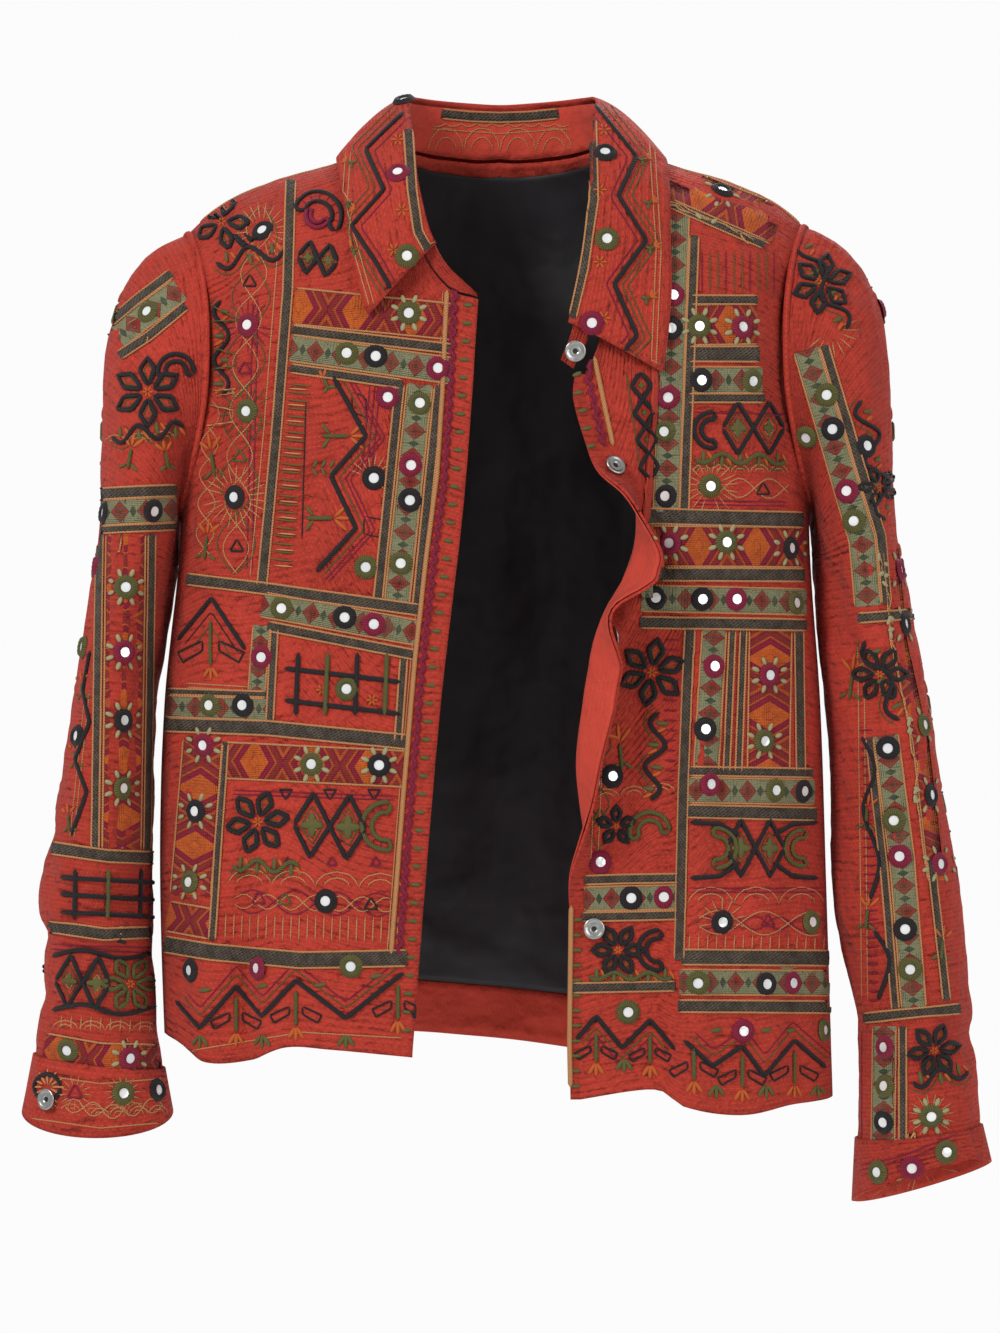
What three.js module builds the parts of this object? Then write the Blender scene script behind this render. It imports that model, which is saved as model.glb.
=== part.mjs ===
// An embroidered cotton jacket, worn open: a turned-down collar on a stand, set-in sleeves with
// turned-back cuffs, plain facings, a dark back lining and metal shank buttons. Every piece of cloth
// is a thin wall laid on one torso surface, or on rings worked out from the garment's sizes.
// Millimetres. +X is the wearer's left, -Y is the front, +Z is up. The origin is the middle of the
// neck, level with the back neck seam, where the wearer's shoulders hold the jacket.
import * as THREE from "three";

// Cloth and seams
const CLOTH = 1.8; // quilted, stitched shell
const LINING = 1.0;
const SEAM_GAP = 0.3;
const FACING_GAP = 0.9; // between the shell and its facings
const LINING_GAP = 1.6;

// Torso shape
const SIDE_ROUNDNESS = 2.6; // 2 is an ellipse in plan, larger is boxier
const SHOULDER_ROUND_FRONT = 120;
const SHOULDER_ROUND_BACK = 95;
const SHOULDER_SEAM = 26; // how far the shoulder seam lies forward of the ridge
const UNDERARM_FRONT = 268; // drop from the ridge to the underarm, over the front
const UNDERARM_BACK = 254;

// Collar, cuffs, facings and buttons
const LEAF_LIFT = 5; // outer face of the collar leaf over the shell
const LEAF_ARCH = 13;
const HEM_FACING = 40; // height of the strip inside the back hem
const BACK_LENGTH = 640;
const LAPEL_BEND = 6; // radius of the rolled front edge
const BUTTON_RADIUS = 7.5;
const BUTTON_HEIGHT = 4;
const BUTTON_SHANK = 2.6;
const BUTTON_LIFT = 0.8;
const BUTTON_INSET = 12; // from the free front edge to a button's centre

// Half-width to each side seam and depth to front and back, by height
const TORSO = [
  { z: 50, right: 238, left: 232, front: 103, back: 84 },
  { z: -120, right: 232, left: 226, front: 108, back: 94 },
  { z: -250, right: 228, left: 221, front: 108, back: 92 },
  { z: -380, right: 240, left: 229, front: 102, back: 82 },
  { z: -500, right: 243, left: 233, front: 100, back: 79 },
  { z: -665, right: 238, left: 238, front: 104, back: 84 },
];
// Height of the shoulder ridge, by distance from the middle
const RIDGE = [
  { x: 0, z: 44 },
  { x: 40, z: 38 },
  { x: 78, z: 24 },
  { x: 112, z: 10 },
  { x: 160, z: -4 },
  { x: 200, z: -22 },
  { x: 224, z: -42 },
  { x: 250, z: -68 },
];
// The armhole as a share of the half-width, by share of the drop from ridge to underarm
const ARMHOLE = [
  { drop: 0, share: 0.955 },
  { drop: 0.19, share: 0.932 },
  { drop: 0.37, share: 0.905 },
  { drop: 0.56, share: 0.888 },
  { drop: 0.75, share: 0.902 },
  { drop: 0.89, share: 0.948 },
  { drop: 1, share: 1 },
];
// The right front's edge, and the three hems
const RIGHT_EDGE = [
  { z: -622, x: 61 },
  { z: -515, x: 53 },
  { z: -375, x: 41 },
  { z: -235, x: 25 },
  { z: -96, x: 15 },
];
const RIGHT_HEM = [
  { x: 61, z: -623 },
  { x: 120, z: -618 },
  { x: 150, z: -617 },
  { x: 178, z: -627 },
  { x: 205, z: -629 },
  { x: 226, z: -617 },
  { x: 238, z: -612 },
];
const LEFT_HEM = [
  { x: 50, z: -653 },
  { x: 98, z: -646 },
  { x: 116, z: -647 },
  { x: 128, z: -657 },
  { x: 168, z: -664 },
  { x: 205, z: -659 },
  { x: 238, z: -657 },
];
const BACK_HEM = [
  { x: -238, z: -612 },
  { x: -120, z: -614 },
  { x: 0, z: -624 },
  { x: 120, z: -640 },
  { x: 238, z: -657 },
];
// The left front's rolled edge: where the roll starts, how much cloth lies beyond it, how far it turns
const LAPEL = [
  { z: -657, x: 57, width: 7, turn: 0 },
  { z: -600, x: 56, width: 7, turn: 0 },
  { z: -540, x: 58, width: 8, turn: 0 },
  { z: -510, x: 62, width: 13, turn: 10 },
  { z: -480, x: 68, width: 20, turn: 42 },
  { z: -450, x: 65, width: 25, turn: 98 },
  { z: -417, x: 63, width: 30, turn: 130 },
  { z: -375, x: 68, width: 34, turn: 138 },
  { z: -340, x: 75, width: 38, turn: 134 },
  { z: -297, x: 90, width: 40, turn: 104 },
  { z: -262, x: 101, width: 38, turn: 68 },
  { z: -230, x: 98, width: 29, turn: 30 },
  { z: -200, x: 79, width: 18, turn: 12 },
  { z: -165, x: 60, width: 9, turn: 0 },
  { z: -148, x: 59, width: 7, turn: 0 },
];
// Folds that hang in the shell: centre line x at the top, how far it leans by the bottom, the heights
// it fades between, its half-width, and its height (ridges are positive, troughs negative)
const FRONT_FOLDS = [
  { name: "right chest", x: -196, lean: -6, top: -40, bottom: -250, width: 11, height: -7 },
  { name: "right side", x: -182, lean: 2, top: -470, bottom: -720, width: 10, height: -8 },
  { name: "right corner", x: -208, lean: 4, top: -470, bottom: -720, width: 12, height: 5 },
  { name: "right belly", x: -110, lean: 14, top: -330, bottom: -600, width: 26, height: 4 },
  { name: "left placket valley", x: 112, lean: -6, top: -150, bottom: -330, width: 12, height: -12 },
  { name: "left crease", x: 139, lean: -6, top: -300, bottom: -760, width: 11, height: 5 },
  { name: "left hollow", x: 96, lean: -6, top: -300, bottom: -520, width: 18, height: -7 },
  { name: "left chest", x: 196, lean: 4, top: -40, bottom: -250, width: 12, height: -6 },
  { name: "left side", x: 206, lean: 6, top: -420, bottom: -720, width: 14, height: -5 },
];
const BACK_FOLDS = [
  { name: "blade right", x: -128, lean: -10, top: -120, bottom: -740, width: 22, height: 5 },
  { name: "hollow right", x: -74, lean: -8, top: -200, bottom: -740, width: 24, height: -6 },
  { name: "middle", x: 6, lean: 6, top: -160, bottom: -740, width: 26, height: 4 },
  { name: "hollow left", x: 82, lean: 10, top: -220, bottom: -740, width: 24, height: -6 },
  { name: "blade left", x: 140, lean: 12, top: -140, bottom: -740, width: 24, height: 5 },
];
// The left front stands in two levels: this far back on the edge side of a soft step
const STEP = { x: 134, lean: -11, top: -290, full: -380, width: 5, depth: 14 };

// The neck seam from the right front corner round the back to the left one (x, and w, the distance
// over the cloth from the shoulder ridge, positive in front), with the collar's fold line above it
// and the collar leaf's outer edge
const COLLAR = [
  { x: -15, w: 207, foldX: -18, foldY: -104, foldZ: -83, edgeX: -70, edgeW: 205 },
  { x: -36, w: 196, foldX: -44, foldY: -109, foldZ: -57, edgeX: -91, edgeW: 194 },
  { x: -56, w: 160, foldX: -55, foldY: -99, foldZ: -22, edgeX: -101, edgeW: 148 },
  { x: -71, w: 92, foldX: -60, foldY: -68, foldZ: 13, edgeX: -109, edgeW: 91 },
  { x: -78, w: 26, foldX: -64, foldY: -26, foldZ: 46, edgeX: -115, edgeW: 30 },
  { x: -77, w: -8, foldX: -66, foldY: 6, foldZ: 58, edgeX: -112, edgeW: -15 },
  { x: -70, w: -34, foldX: -60, foldY: 32, foldZ: 60, edgeX: -96, edgeW: -50 },
  { x: -50, w: -58, foldX: -46, foldY: 50, foldZ: 60, edgeX: -66, edgeW: -78 },
  { x: -25, w: -71, foldX: -24, foldY: 59, foldZ: 59, edgeX: -33, edgeW: -92 },
  { x: 0, w: -75, foldX: 0, foldY: 62, foldZ: 58, edgeX: 0, edgeW: -97 },
  { x: 25, w: -71, foldX: 24, foldY: 59, foldZ: 59, edgeX: 33, edgeW: -92 },
  { x: 50, w: -58, foldX: 46, foldY: 50, foldZ: 60, edgeX: 66, edgeW: -78 },
  { x: 70, w: -34, foldX: 62, foldY: 32, foldZ: 60, edgeX: 96, edgeW: -50 },
  { x: 77, w: -8, foldX: 68, foldY: 6, foldZ: 57, edgeX: 113, edgeW: -15 },
  { x: 78, w: 26, foldX: 68, foldY: -28, foldZ: 45, edgeX: 117, edgeW: 24 },
  { x: 78, w: 86, foldX: 65, foldY: -66, foldZ: 18, edgeX: 118, edgeW: 76 },
  { x: 75, w: 134, foldX: 62, foldY: -97, foldZ: -24, edgeX: 118, edgeW: 130 },
  { x: 71, w: 179, foldX: 57, foldY: -109, foldZ: -66, edgeX: 118, edgeW: 174 },
  { x: 64, w: 220, foldX: 47, foldY: -112, foldZ: -112, edgeX: 112, edgeW: 225 },
  { x: 53, w: 248, foldX: 38, foldY: -109, foldZ: -135, edgeX: 100, edgeW: 240 },
];
const RIGHT_SHOULDER_ROW = 4; // the rows of COLLAR where the shoulder seams start
const LEFT_SHOULDER_ROW = 14;
const LEAF_FIRST_ROW = 1;
const LEAF_LAST_ROW = 18;

// Sleeve sections below the underarm: x of the outer and inner side, middle y, half-depth, height
const RIGHT_SLEEVE = [
  { z: -276, outer: 289, inner: 231, y: 4, depth: 79 },
  { z: -330, outer: 298, inner: 239, y: 2, depth: 77 },
  { z: -385, outer: 306, inner: 246, y: 0, depth: 74 },
  { z: -450, outer: 316, inner: 248, y: -4, depth: 69 },
  { z: -520, outer: 330, inner: 248, y: -8, depth: 62 },
  { z: -560, outer: 325, inner: 247, y: -10, depth: 58 },
  { z: -600, outer: 328, inner: 245, y: -12, depth: 53 },
  { z: -640, outer: 332, inner: 240, y: -14, depth: 43 },
];
const LEFT_SLEEVE = [
  { z: -272, outer: 286, inner: 224, y: 4, depth: 79 },
  { z: -335, outer: 298, inner: 228, y: 2, depth: 77 },
  { z: -385, outer: 307, inner: 234, y: 0, depth: 74 },
  { z: -450, outer: 317, inner: 237, y: -3, depth: 70 },
  { z: -520, outer: 329, inner: 239, y: -6, depth: 65 },
  { z: -592, outer: 336, inner: 254, y: -8, depth: 58 },
  { z: -640, outer: 340, inner: 256, y: -9, depth: 52 },
  { z: -692, outer: 343, inner: 256, y: -10, depth: 42 },
];
// Creases across a sleeve: height, angle round from the outer side over the front, reach, depth
const RIGHT_SLEEVE_FOLDS = [
  { z: -532, angle: 60, slant: 14, reach: 75, width: 8, height: -5 },
  { z: -552, angle: 95, slant: -10, reach: 80, width: 7, height: -5 },
  { z: -575, angle: 70, slant: 12, reach: 80, width: 8, height: -5 },
  { z: -470, angle: 20, slant: 10, reach: 60, width: 14, height: -3 },
  { z: -350, angle: 150, slant: -30, reach: 60, width: 18, height: -5 },
  { z: -545, angle: 250, slant: 12, reach: 80, width: 9, height: -5 },
  { z: -400, angle: 270, slant: 20, reach: 70, width: 16, height: -4 },
];
const LEFT_SLEEVE_FOLDS = [
  { z: -345, angle: 125, slant: 60, reach: 38, width: 42, height: -9 },
  { z: -470, angle: 120, slant: 40, reach: 34, width: 50, height: -8 },
  { z: -600, angle: 60, slant: 14, reach: 70, width: 9, height: -5 },
  { z: -628, angle: 80, slant: -12, reach: 70, width: 8, height: -5 },
  { z: -590, angle: 255, slant: 12, reach: 80, width: 9, height: -5 },
  { z: -420, angle: 275, slant: -20, reach: 70, width: 16, height: -4 },
];
// A cuff is a band of its own round the sleeve's end. This is its lower edge: rise is how much higher
// its outer side is than its inner side, nod how much lower its front is than its middle
const CUFF_START = 0.985; // where the band starts, as a share of the sleeve's height
const RIGHT_CUFF = { side: -1, x: 287, y: -14, z: -668, width: 54, depth: 47, rise: 2, nod: 15 };
const LEFT_CUFF = { side: 1, x: 301, y: -10, z: -718, width: 50, depth: 45, rise: 27, nod: -11 };

// Where the buttons sit: heights down the left front's edge, and angles round each cuff
const BUTTON_HEIGHTS = [-213, -331, -431, -537];
const CUFF_BUTTONS = [
  { name: "button_cuff_right", side: -1, angle: 52, down: 0.55 },
  { name: "button_cuff_left", side: 1, angle: 288, down: 0.5 },
];
const STAND_BUTTON = { name: "button_collar", along: 18.55, up: 0.45 };

const COLOURS = {
  shell: { color: 0xb93a2c, roughness: 0.92, metalness: 0 },
  facing: { color: 0xc8402f, roughness: 0.9, metalness: 0 },
  lining: { color: 0x141414, roughness: 0.6, metalness: 0 },
  metal: { color: 0xc9c5bb, roughness: 0.35, metalness: 0.9 },
};

const clamp01 = (t) => Math.min(1, Math.max(0, t));
const ease = (t) => clamp01(t) ** 2 * (3 - 2 * clamp01(t));
const mix = (a, b, t) => a + (b - a) * t;
const radians = THREE.MathUtils.degToRad;
const QUARTER = Math.PI / 2;

// One column of a table as a smooth curve of another; the rows run up or down in the column `by`
function follow(rows, by, column, at) {
  const rising = rows[rows.length - 1][by] > rows[0][by];
  const sorted = rising ? rows : [...rows].reverse();
  if (at <= sorted[0][by]) return sorted[0][column];
  const last = sorted.length - 1;
  if (at >= sorted[last][by]) return sorted[last][column];
  const i = sorted.findIndex((row, n) => n < last && at < sorted[n + 1][by]);
  const slope = (n) => {
    const a = sorted[Math.max(0, n - 1)];
    const b = sorted[Math.min(last, n + 1)];
    return (b[column] - a[column]) / (b[by] - a[by]);
  };
  const [p, q] = [sorted[i], sorted[i + 1]];
  const span = q[by] - p[by];
  const t = (at - p[by]) / span;
  return (
    (2 * t ** 3 - 3 * t ** 2 + 1) * p[column] +
    (t ** 3 - 2 * t ** 2 + t) * span * slope(i) +
    (3 * t ** 2 - 2 * t ** 3) * q[column] +
    (t ** 3 - t ** 2) * span * slope(i + 1)
  );
}
const collarRows = COLLAR.map((row, index) => ({ index, ...row }));
const collarAt = (column, row) => follow(collarRows, "index", column, row);

const ridge = (x) => follow(RIDGE, "x", "z", Math.abs(x));
const halfWidth = (z, side) => follow(TORSO, "z", side < 0 ? "right" : "left", z);
const shoulderRound = (w) => (w < 0 ? SHOULDER_ROUND_BACK : SHOULDER_ROUND_FRONT);
const quarterTurn = (w) => (shoulderRound(w) * Math.PI) / 2;

// Height of the torso surface under a point of the ridge, a distance w over the cloth
function heightAt(x, w) {
  const round = shoulderRound(w);
  const over = Math.abs(w) - quarterTurn(w);
  if (over > 0) return ridge(x) - round - over;
  return ridge(x) - round * (1 - Math.cos(w / round));
}

// The distance w over the cloth for a height; face is 1 in front and -1 behind
function distanceAt(x, z, face) {
  const round = shoulderRound(face);
  const drop = Math.max(0, ridge(x) - z);
  if (drop > round) return face * (quarterTurn(face) + drop - round);
  return face * round * Math.acos(1 - drop / round);
}

// A place on the torso is { turn, w }: turn is -90 degrees at the right side seam, 0 in the middle
// and 90 at the left side seam
function place(x, w) {
  const side = x < 0 ? -1 : 1;
  const share = Math.min(1, Math.abs(x) / halfWidth(heightAt(x, w), side));
  return { turn: side * Math.asin(share), w };
}
const placeAt = (x, z, face) => place(x, distanceAt(x, z, face));

function foldDepth(folds, x, z) {
  let height = 0;
  for (const fold of folds) {
    const down = (fold.top - z) / (fold.top - fold.bottom);
    const fade = ease(down * 4) * ease((1 - down) * 4);
    const off = (x - fold.x - fold.lean * down) / fold.width;
    height += fold.height * fade * Math.exp(-off * off);
  }
  return height;
}

function stepDepth(x, z) {
  const down = clamp01((STEP.top - z) / (STEP.top - STEP.full));
  const line = STEP.x + STEP.lean * clamp01((STEP.top - z) / 370);
  return -STEP.depth * ease(down) * (0.5 - 0.5 * Math.tanh((x - line) / STEP.width));
}

function bareTorso({ turn, w }) {
  const side = turn < 0 ? -1 : 1;
  const share = Math.abs(Math.sin(turn));
  let z = heightAt(side * share * halfWidth(0, side), w);
  for (let pass = 0; pass < 3; pass++) z = heightAt(side * share * halfWidth(z, side), w);
  const x = side * share * halfWidth(z, side);
  const lift = Math.abs(w) > quarterTurn(w) ? 1 : Math.sin(Math.abs(w) / shoulderRound(w));
  const fullness = Math.max(0, 1 - share ** SIDE_ROUNDNESS) ** (1 / SIDE_ROUNDNESS);
  const depth = follow(TORSO, "z", w < 0 ? "back" : "front", z);
  return new THREE.Vector3(x, (w < 0 ? 1 : -1) * (depth * fullness * lift + SEAM_GAP / 2), z);
}

// Unit normal of a surface of u and v, both from 0 to 1, by small differences
function normalOf(surface, u, v) {
  const [left, right] = [Math.max(0, u - 1e-3), Math.min(1, u + 1e-3)];
  const [low, high] = [Math.max(0, v - 1e-3), Math.min(1, v + 1e-3)];
  const across = surface(right, v).sub(surface(left, v));
  return across.cross(surface(u, high).sub(surface(u, low))).normalize();
}
function torsoNormal({ turn, w }) {
  const middle = THREE.MathUtils.clamp(turn, 0.01 - QUARTER, QUARTER - 0.01);
  const across = bareTorso({ turn: middle + 0.005, w }).sub(bareTorso({ turn: middle - 0.005, w }));
  const down = bareTorso({ turn: middle, w: w + 0.5 }).sub(bareTorso({ turn: middle, w: w - 0.5 }));
  return down.cross(across).normalize();
}

// The shell's outer face with its folds
function torso(spot) {
  const bare = bareTorso(spot);
  const sideFade = ease((Math.PI / 2 - Math.abs(spot.turn)) / 0.3);
  const height =
    spot.w < 0
      ? foldDepth(BACK_FOLDS, bare.x, bare.z)
      : foldDepth(FRONT_FOLDS, bare.x, bare.z) + (bare.x > 0 ? stepDepth(bare.x, bare.z) : 0);
  return bare.addScaledVector(torsoNormal(spot), height * sideFade);
}

// A patch of the torso between four border curves, each a function from 0 to 1 to a place
function patch({ bottom, top, start, end }) {
  const corners = [bottom(0), bottom(1), top(0), top(1)];
  return (u, v) => {
    const [b, t, s, e] = [bottom(u), top(u), start(v), end(v)];
    const blend = (key) =>
      mix(b[key], t[key], v) +
      mix(s[key], e[key], u) -
      mix(mix(corners[0][key], corners[1][key], u), mix(corners[2][key], corners[3][key], u), v);
    return { turn: blend("turn"), w: blend("w") };
  };
}

// Border curves
const neckPlace = (row) => place(collarAt("x", row), collarAt("w", row));
function armholePlace(side, w) {
  const full = w < 0 ? UNDERARM_BACK : UNDERARM_FRONT;
  const share = follow(ARMHOLE, "drop", "share", Math.min(1, Math.abs(w) / full));
  return { turn: side * Math.asin(Math.min(1, share)), w };
}
// A curve in two stretches that meet at `split`
const joined = (split, first, second) => (t) =>
  t < split ? first(t / split) : second((t - split) / (1 - split));
// Side seam and armhole of a front (face 1) or the back (face -1), from the hem up
function sideBorder(side, face, hemZ, underarmShare) {
  const hem = placeAt(side * (halfWidth(hemZ, side) - 0.01), hemZ, face).w;
  const underarm = face * (face < 0 ? UNDERARM_BACK : UNDERARM_FRONT);
  const top = SHOULDER_SEAM + (face * SEAM_GAP) / 2;
  return joined(
    underarmShare,
    (t) => ({ turn: side * QUARTER, w: mix(hem, underarm, t) }),
    (t) => armholePlace(side, mix(underarm, top, t)),
  );
}
const shoulderLine = (side, from, to, w) => (t) =>
  place(side * mix(from, to, t), w);

const SIDE_NECK = Math.abs(COLLAR[RIGHT_SHOULDER_ROW].x);
const UNDERARM_SHARE = 0.6;
const FRONT_NECK_SHARE = 0.375;
const shoulderEnd = (side) => Math.abs(bareTorso(armholePlace(side, SHOULDER_SEAM)).x);

function frontPatch(side, hem, edgePlace, cornerRow, sideNeckRow) {
  const seam = SHOULDER_SEAM + SEAM_GAP / 2;
  const hemZ = hem[hem.length - 1].z;
  const hemStart = edgePlace(0);
  const hemTurn = (t) => mix(hemStart.turn, side * QUARTER, t);
  return patch({
    bottom: (t) => {
      const x = Math.sin(Math.abs(hemTurn(t))) * halfWidth(hemZ, side);
      return { turn: hemTurn(t), w: distanceAt(x, follow(hem, "x", "z", x), 1) };
    },
    top: joined(
      FRONT_NECK_SHARE,
      (t) => neckPlace(mix(cornerRow, sideNeckRow, t)),
      shoulderLine(side, SIDE_NECK, shoulderEnd(side), seam),
    ),
    start: edgePlace,
    end: sideBorder(side, 1, hemZ, UNDERARM_SHARE),
  });
}

const tableTop = (rows) => Math.max(...rows.map((row) => row.z));
const rightEdge = (t) => {
  const z = mix(RIGHT_HEM[0].z, tableTop(RIGHT_EDGE), t);
  return placeAt(-follow(RIGHT_EDGE, "z", "x", z), z, 1);
};
const leftRollZ = (t) => mix(LEFT_HEM[0].z, tableTop(LAPEL), t);
const leftRoll = (t) => placeAt(follow(LAPEL, "z", "x", leftRollZ(t)), leftRollZ(t), 1);

const LEFT_CORNER_ROW = COLLAR.length - 1;
const rightFront = frontPatch(-1, RIGHT_HEM, rightEdge, 0, RIGHT_SHOULDER_ROW);
const leftFront = frontPatch(1, LEFT_HEM, leftRoll, LEFT_CORNER_ROW, LEFT_SHOULDER_ROW);
const BACK_NECK_SHARE = 1 / 3;
const back = (() => {
  const seam = SHOULDER_SEAM - SEAM_GAP / 2;
  const hemZ = [BACK_HEM[0].z, BACK_HEM[BACK_HEM.length - 1].z];
  const shoulderShare = (1 - BACK_NECK_SHARE) / 2;
  return patch({
    bottom: (t) => {
      const turn = mix(-QUARTER, QUARTER, t);
      const x = Math.sin(turn) * halfWidth(hemZ[0], Math.sign(turn));
      return { turn, w: distanceAt(x, follow(BACK_HEM, "x", "z", x), -1) };
    },
    top: joined(
      shoulderShare,
      (t) => shoulderLine(-1, shoulderEnd(-1), SIDE_NECK, seam)(t),
      joined(
        BACK_NECK_SHARE / (1 - shoulderShare),
        (t) => neckPlace(mix(RIGHT_SHOULDER_ROW, LEFT_SHOULDER_ROW, t)),
        shoulderLine(1, SIDE_NECK, shoulderEnd(1), seam),
      ),
    ),
    start: sideBorder(-1, -1, hemZ[0], UNDERARM_SHARE),
    end: sideBorder(1, -1, hemZ[1], UNDERARM_SHARE),
  });
})();

const rightFrontFace = (u, v) => torso(rightFront(u, v));
const backFace = (u, v) => torso(back(u, v));

// The left front: its patch, and beyond the roll line a strip of cloth that turns outwards
const STRIP_SHARE = 0.3;
function leftFrontFace(u, v) {
  if (u >= STRIP_SHARE) return torso(leftFront((u - STRIP_SHARE) / (1 - STRIP_SHARE), v));
  const z = leftRollZ(clamp01(v));
  const width = follow(LAPEL, "z", "width", z);
  const turn = radians(follow(LAPEL, "z", "turn", z));
  const root = torso(leftFront(0, v));
  const ahead = root.clone().sub(torso(leftFront(0.02, v)));
  ahead.z = 0;
  ahead.normalize();
  const outward = new THREE.Vector3(ahead.y, -ahead.x, 0);
  const bend = Math.min(width, Math.max(4, LAPEL_BEND * turn));
  const reach = width * (1 - u / STRIP_SHARE);
  const steps = 16;
  for (let n = 0; n < steps; n++) {
    const along = ((n + 0.5) / steps) * reach;
    const angle = turn * ease(along / bend);
    root.addScaledVector(ahead, (Math.cos(angle) * reach) / steps);
    root.addScaledVector(outward, (-Math.sin(angle) * reach) / steps);
  }
  return root;
}

// A surface of u and v sampled at its columns and rows, with the outward normal at each sample. A
// tube closes on itself in u. Any place between samples, by column and row number, is interpolated.
function sample(surface, { us, vs, tube = false, flip = false }) {
  const grid = vs.map((v) =>
    us.map((u) => {
      const normal = normalOf(surface, u, v).multiplyScalar(flip ? -1 : 1);
      return { point: surface(u, v), normal };
    }),
  );
  const at = (column, row) => {
    const [i, j] = [Math.floor(column + 1e-9), Math.floor(row + 1e-9)];
    const [s, t] = [Math.max(0, column - i), Math.max(0, row - j)];
    const spot = (m, n) => grid[Math.min(n, vs.length - 1)][m % us.length];
    const blend = (key) =>
      new THREE.Vector3()
        .addScaledVector(spot(i, j)[key], (1 - s) * (1 - t))
        .addScaledVector(spot(s > 0 ? i + 1 : i, j)[key], s * (1 - t))
        .addScaledVector(spot(i, t > 0 ? j + 1 : j)[key], (1 - s) * t)
        .addScaledVector(spot(s > 0 ? i + 1 : i, t > 0 ? j + 1 : j)[key], s * t);
    return { point: blend("point"), normal: blend("normal") };
  };
  return { at, tube, flip, columns: us.length, rows: vs.length };
}

// Column or row numbers from a to b: both ends, and every whole number between them
function span(a, b) {
  const inside = [];
  for (let n = Math.floor(a) + 1; n < b - 1e-6; n++) inside.push(n);
  return [a, ...inside, b];
}

// A wall of cloth on a sampled sheet: its outer face stands at an offset from it, along the normals
function wall(sheet, { columns, rows, thickness = CLOTH, offset = 0 } = {}) {
  const across = columns ?? span(0, sheet.columns - 1);
  const up = rows ?? span(0, sheet.rows - 1);
  const grid = up.map((row) =>
    across.map((column) => {
      const { point, normal } = sheet.at(column, row);
      const outer = point.addScaledVector(normal, offset);
      return { outer, inner: outer.clone().addScaledVector(normal, -thickness) };
    }),
  );
  const positions = [];
  const face = (...corners) => {
    const order = sheet.flip ? corners.reverse() : corners;
    for (const p of order) positions.push(p.x, p.y, p.z);
  };
  // Each four-sided cell is split along its shorter diagonal, the same way on every layer
  const quad = (a, b, c, d, other = false) => {
    face(a, b, other ? d : c);
    face(other ? b : a, c, d);
  };
  const splitsOther = (column, row) => {
    const [i, j] = [Math.floor(column + 1e-9), Math.floor(row + 1e-9)];
    const spot = (m, n) => sheet.at(m, n).point;
    return spot(i, j).distanceTo(spot(i + 1, j + 1)) > spot(i + 1, j).distanceTo(spot(i, j + 1));
  };
  const count = sheet.tube ? across.length : across.length - 1;
  const cell = (i, j) => grid[j][i % across.length];
  for (let j = 0; j < up.length - 1; j++) {
    for (let i = 0; i < count; i++) {
      const [a, b] = [cell(i, j), cell(i + 1, j)];
      const [d, c] = [cell(i, j + 1), cell(i + 1, j + 1)];
      const other = splitsOther(across[i], up[j]);
      quad(a.outer, b.outer, c.outer, d.outer, other);
      quad(b.inner, a.inner, d.inner, c.inner, !other);
    }
    if (sheet.tube) continue;
    const [a, d] = [cell(0, j), cell(0, j + 1)];
    const [b, c] = [cell(count, j), cell(count, j + 1)];
    quad(a.inner, a.outer, d.outer, d.inner);
    quad(b.outer, b.inner, c.inner, c.outer);
  }
  const top = up.length - 1;
  for (let i = 0; i < count; i++) {
    const [a, b] = [cell(i, 0), cell(i + 1, 0)];
    const [d, c] = [cell(i, top), cell(i + 1, top)];
    quad(a.inner, b.inner, b.outer, a.outer);
    quad(d.outer, c.outer, c.inner, d.inner);
  }
  const geometry = new THREE.BufferGeometry();
  geometry.setAttribute("position", new THREE.Float32BufferAttribute(positions, 3));
  geometry.computeVertexNormals();
  return geometry;
}

// Even steps from a to b, ends included
const steps = (count, a = 0, b = 1) =>
  Array.from({ length: count + 1 }, (_, i) => mix(a, b, i / count));
const ring = (count) => Array.from({ length: count }, (_, i) => i / count);

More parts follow.
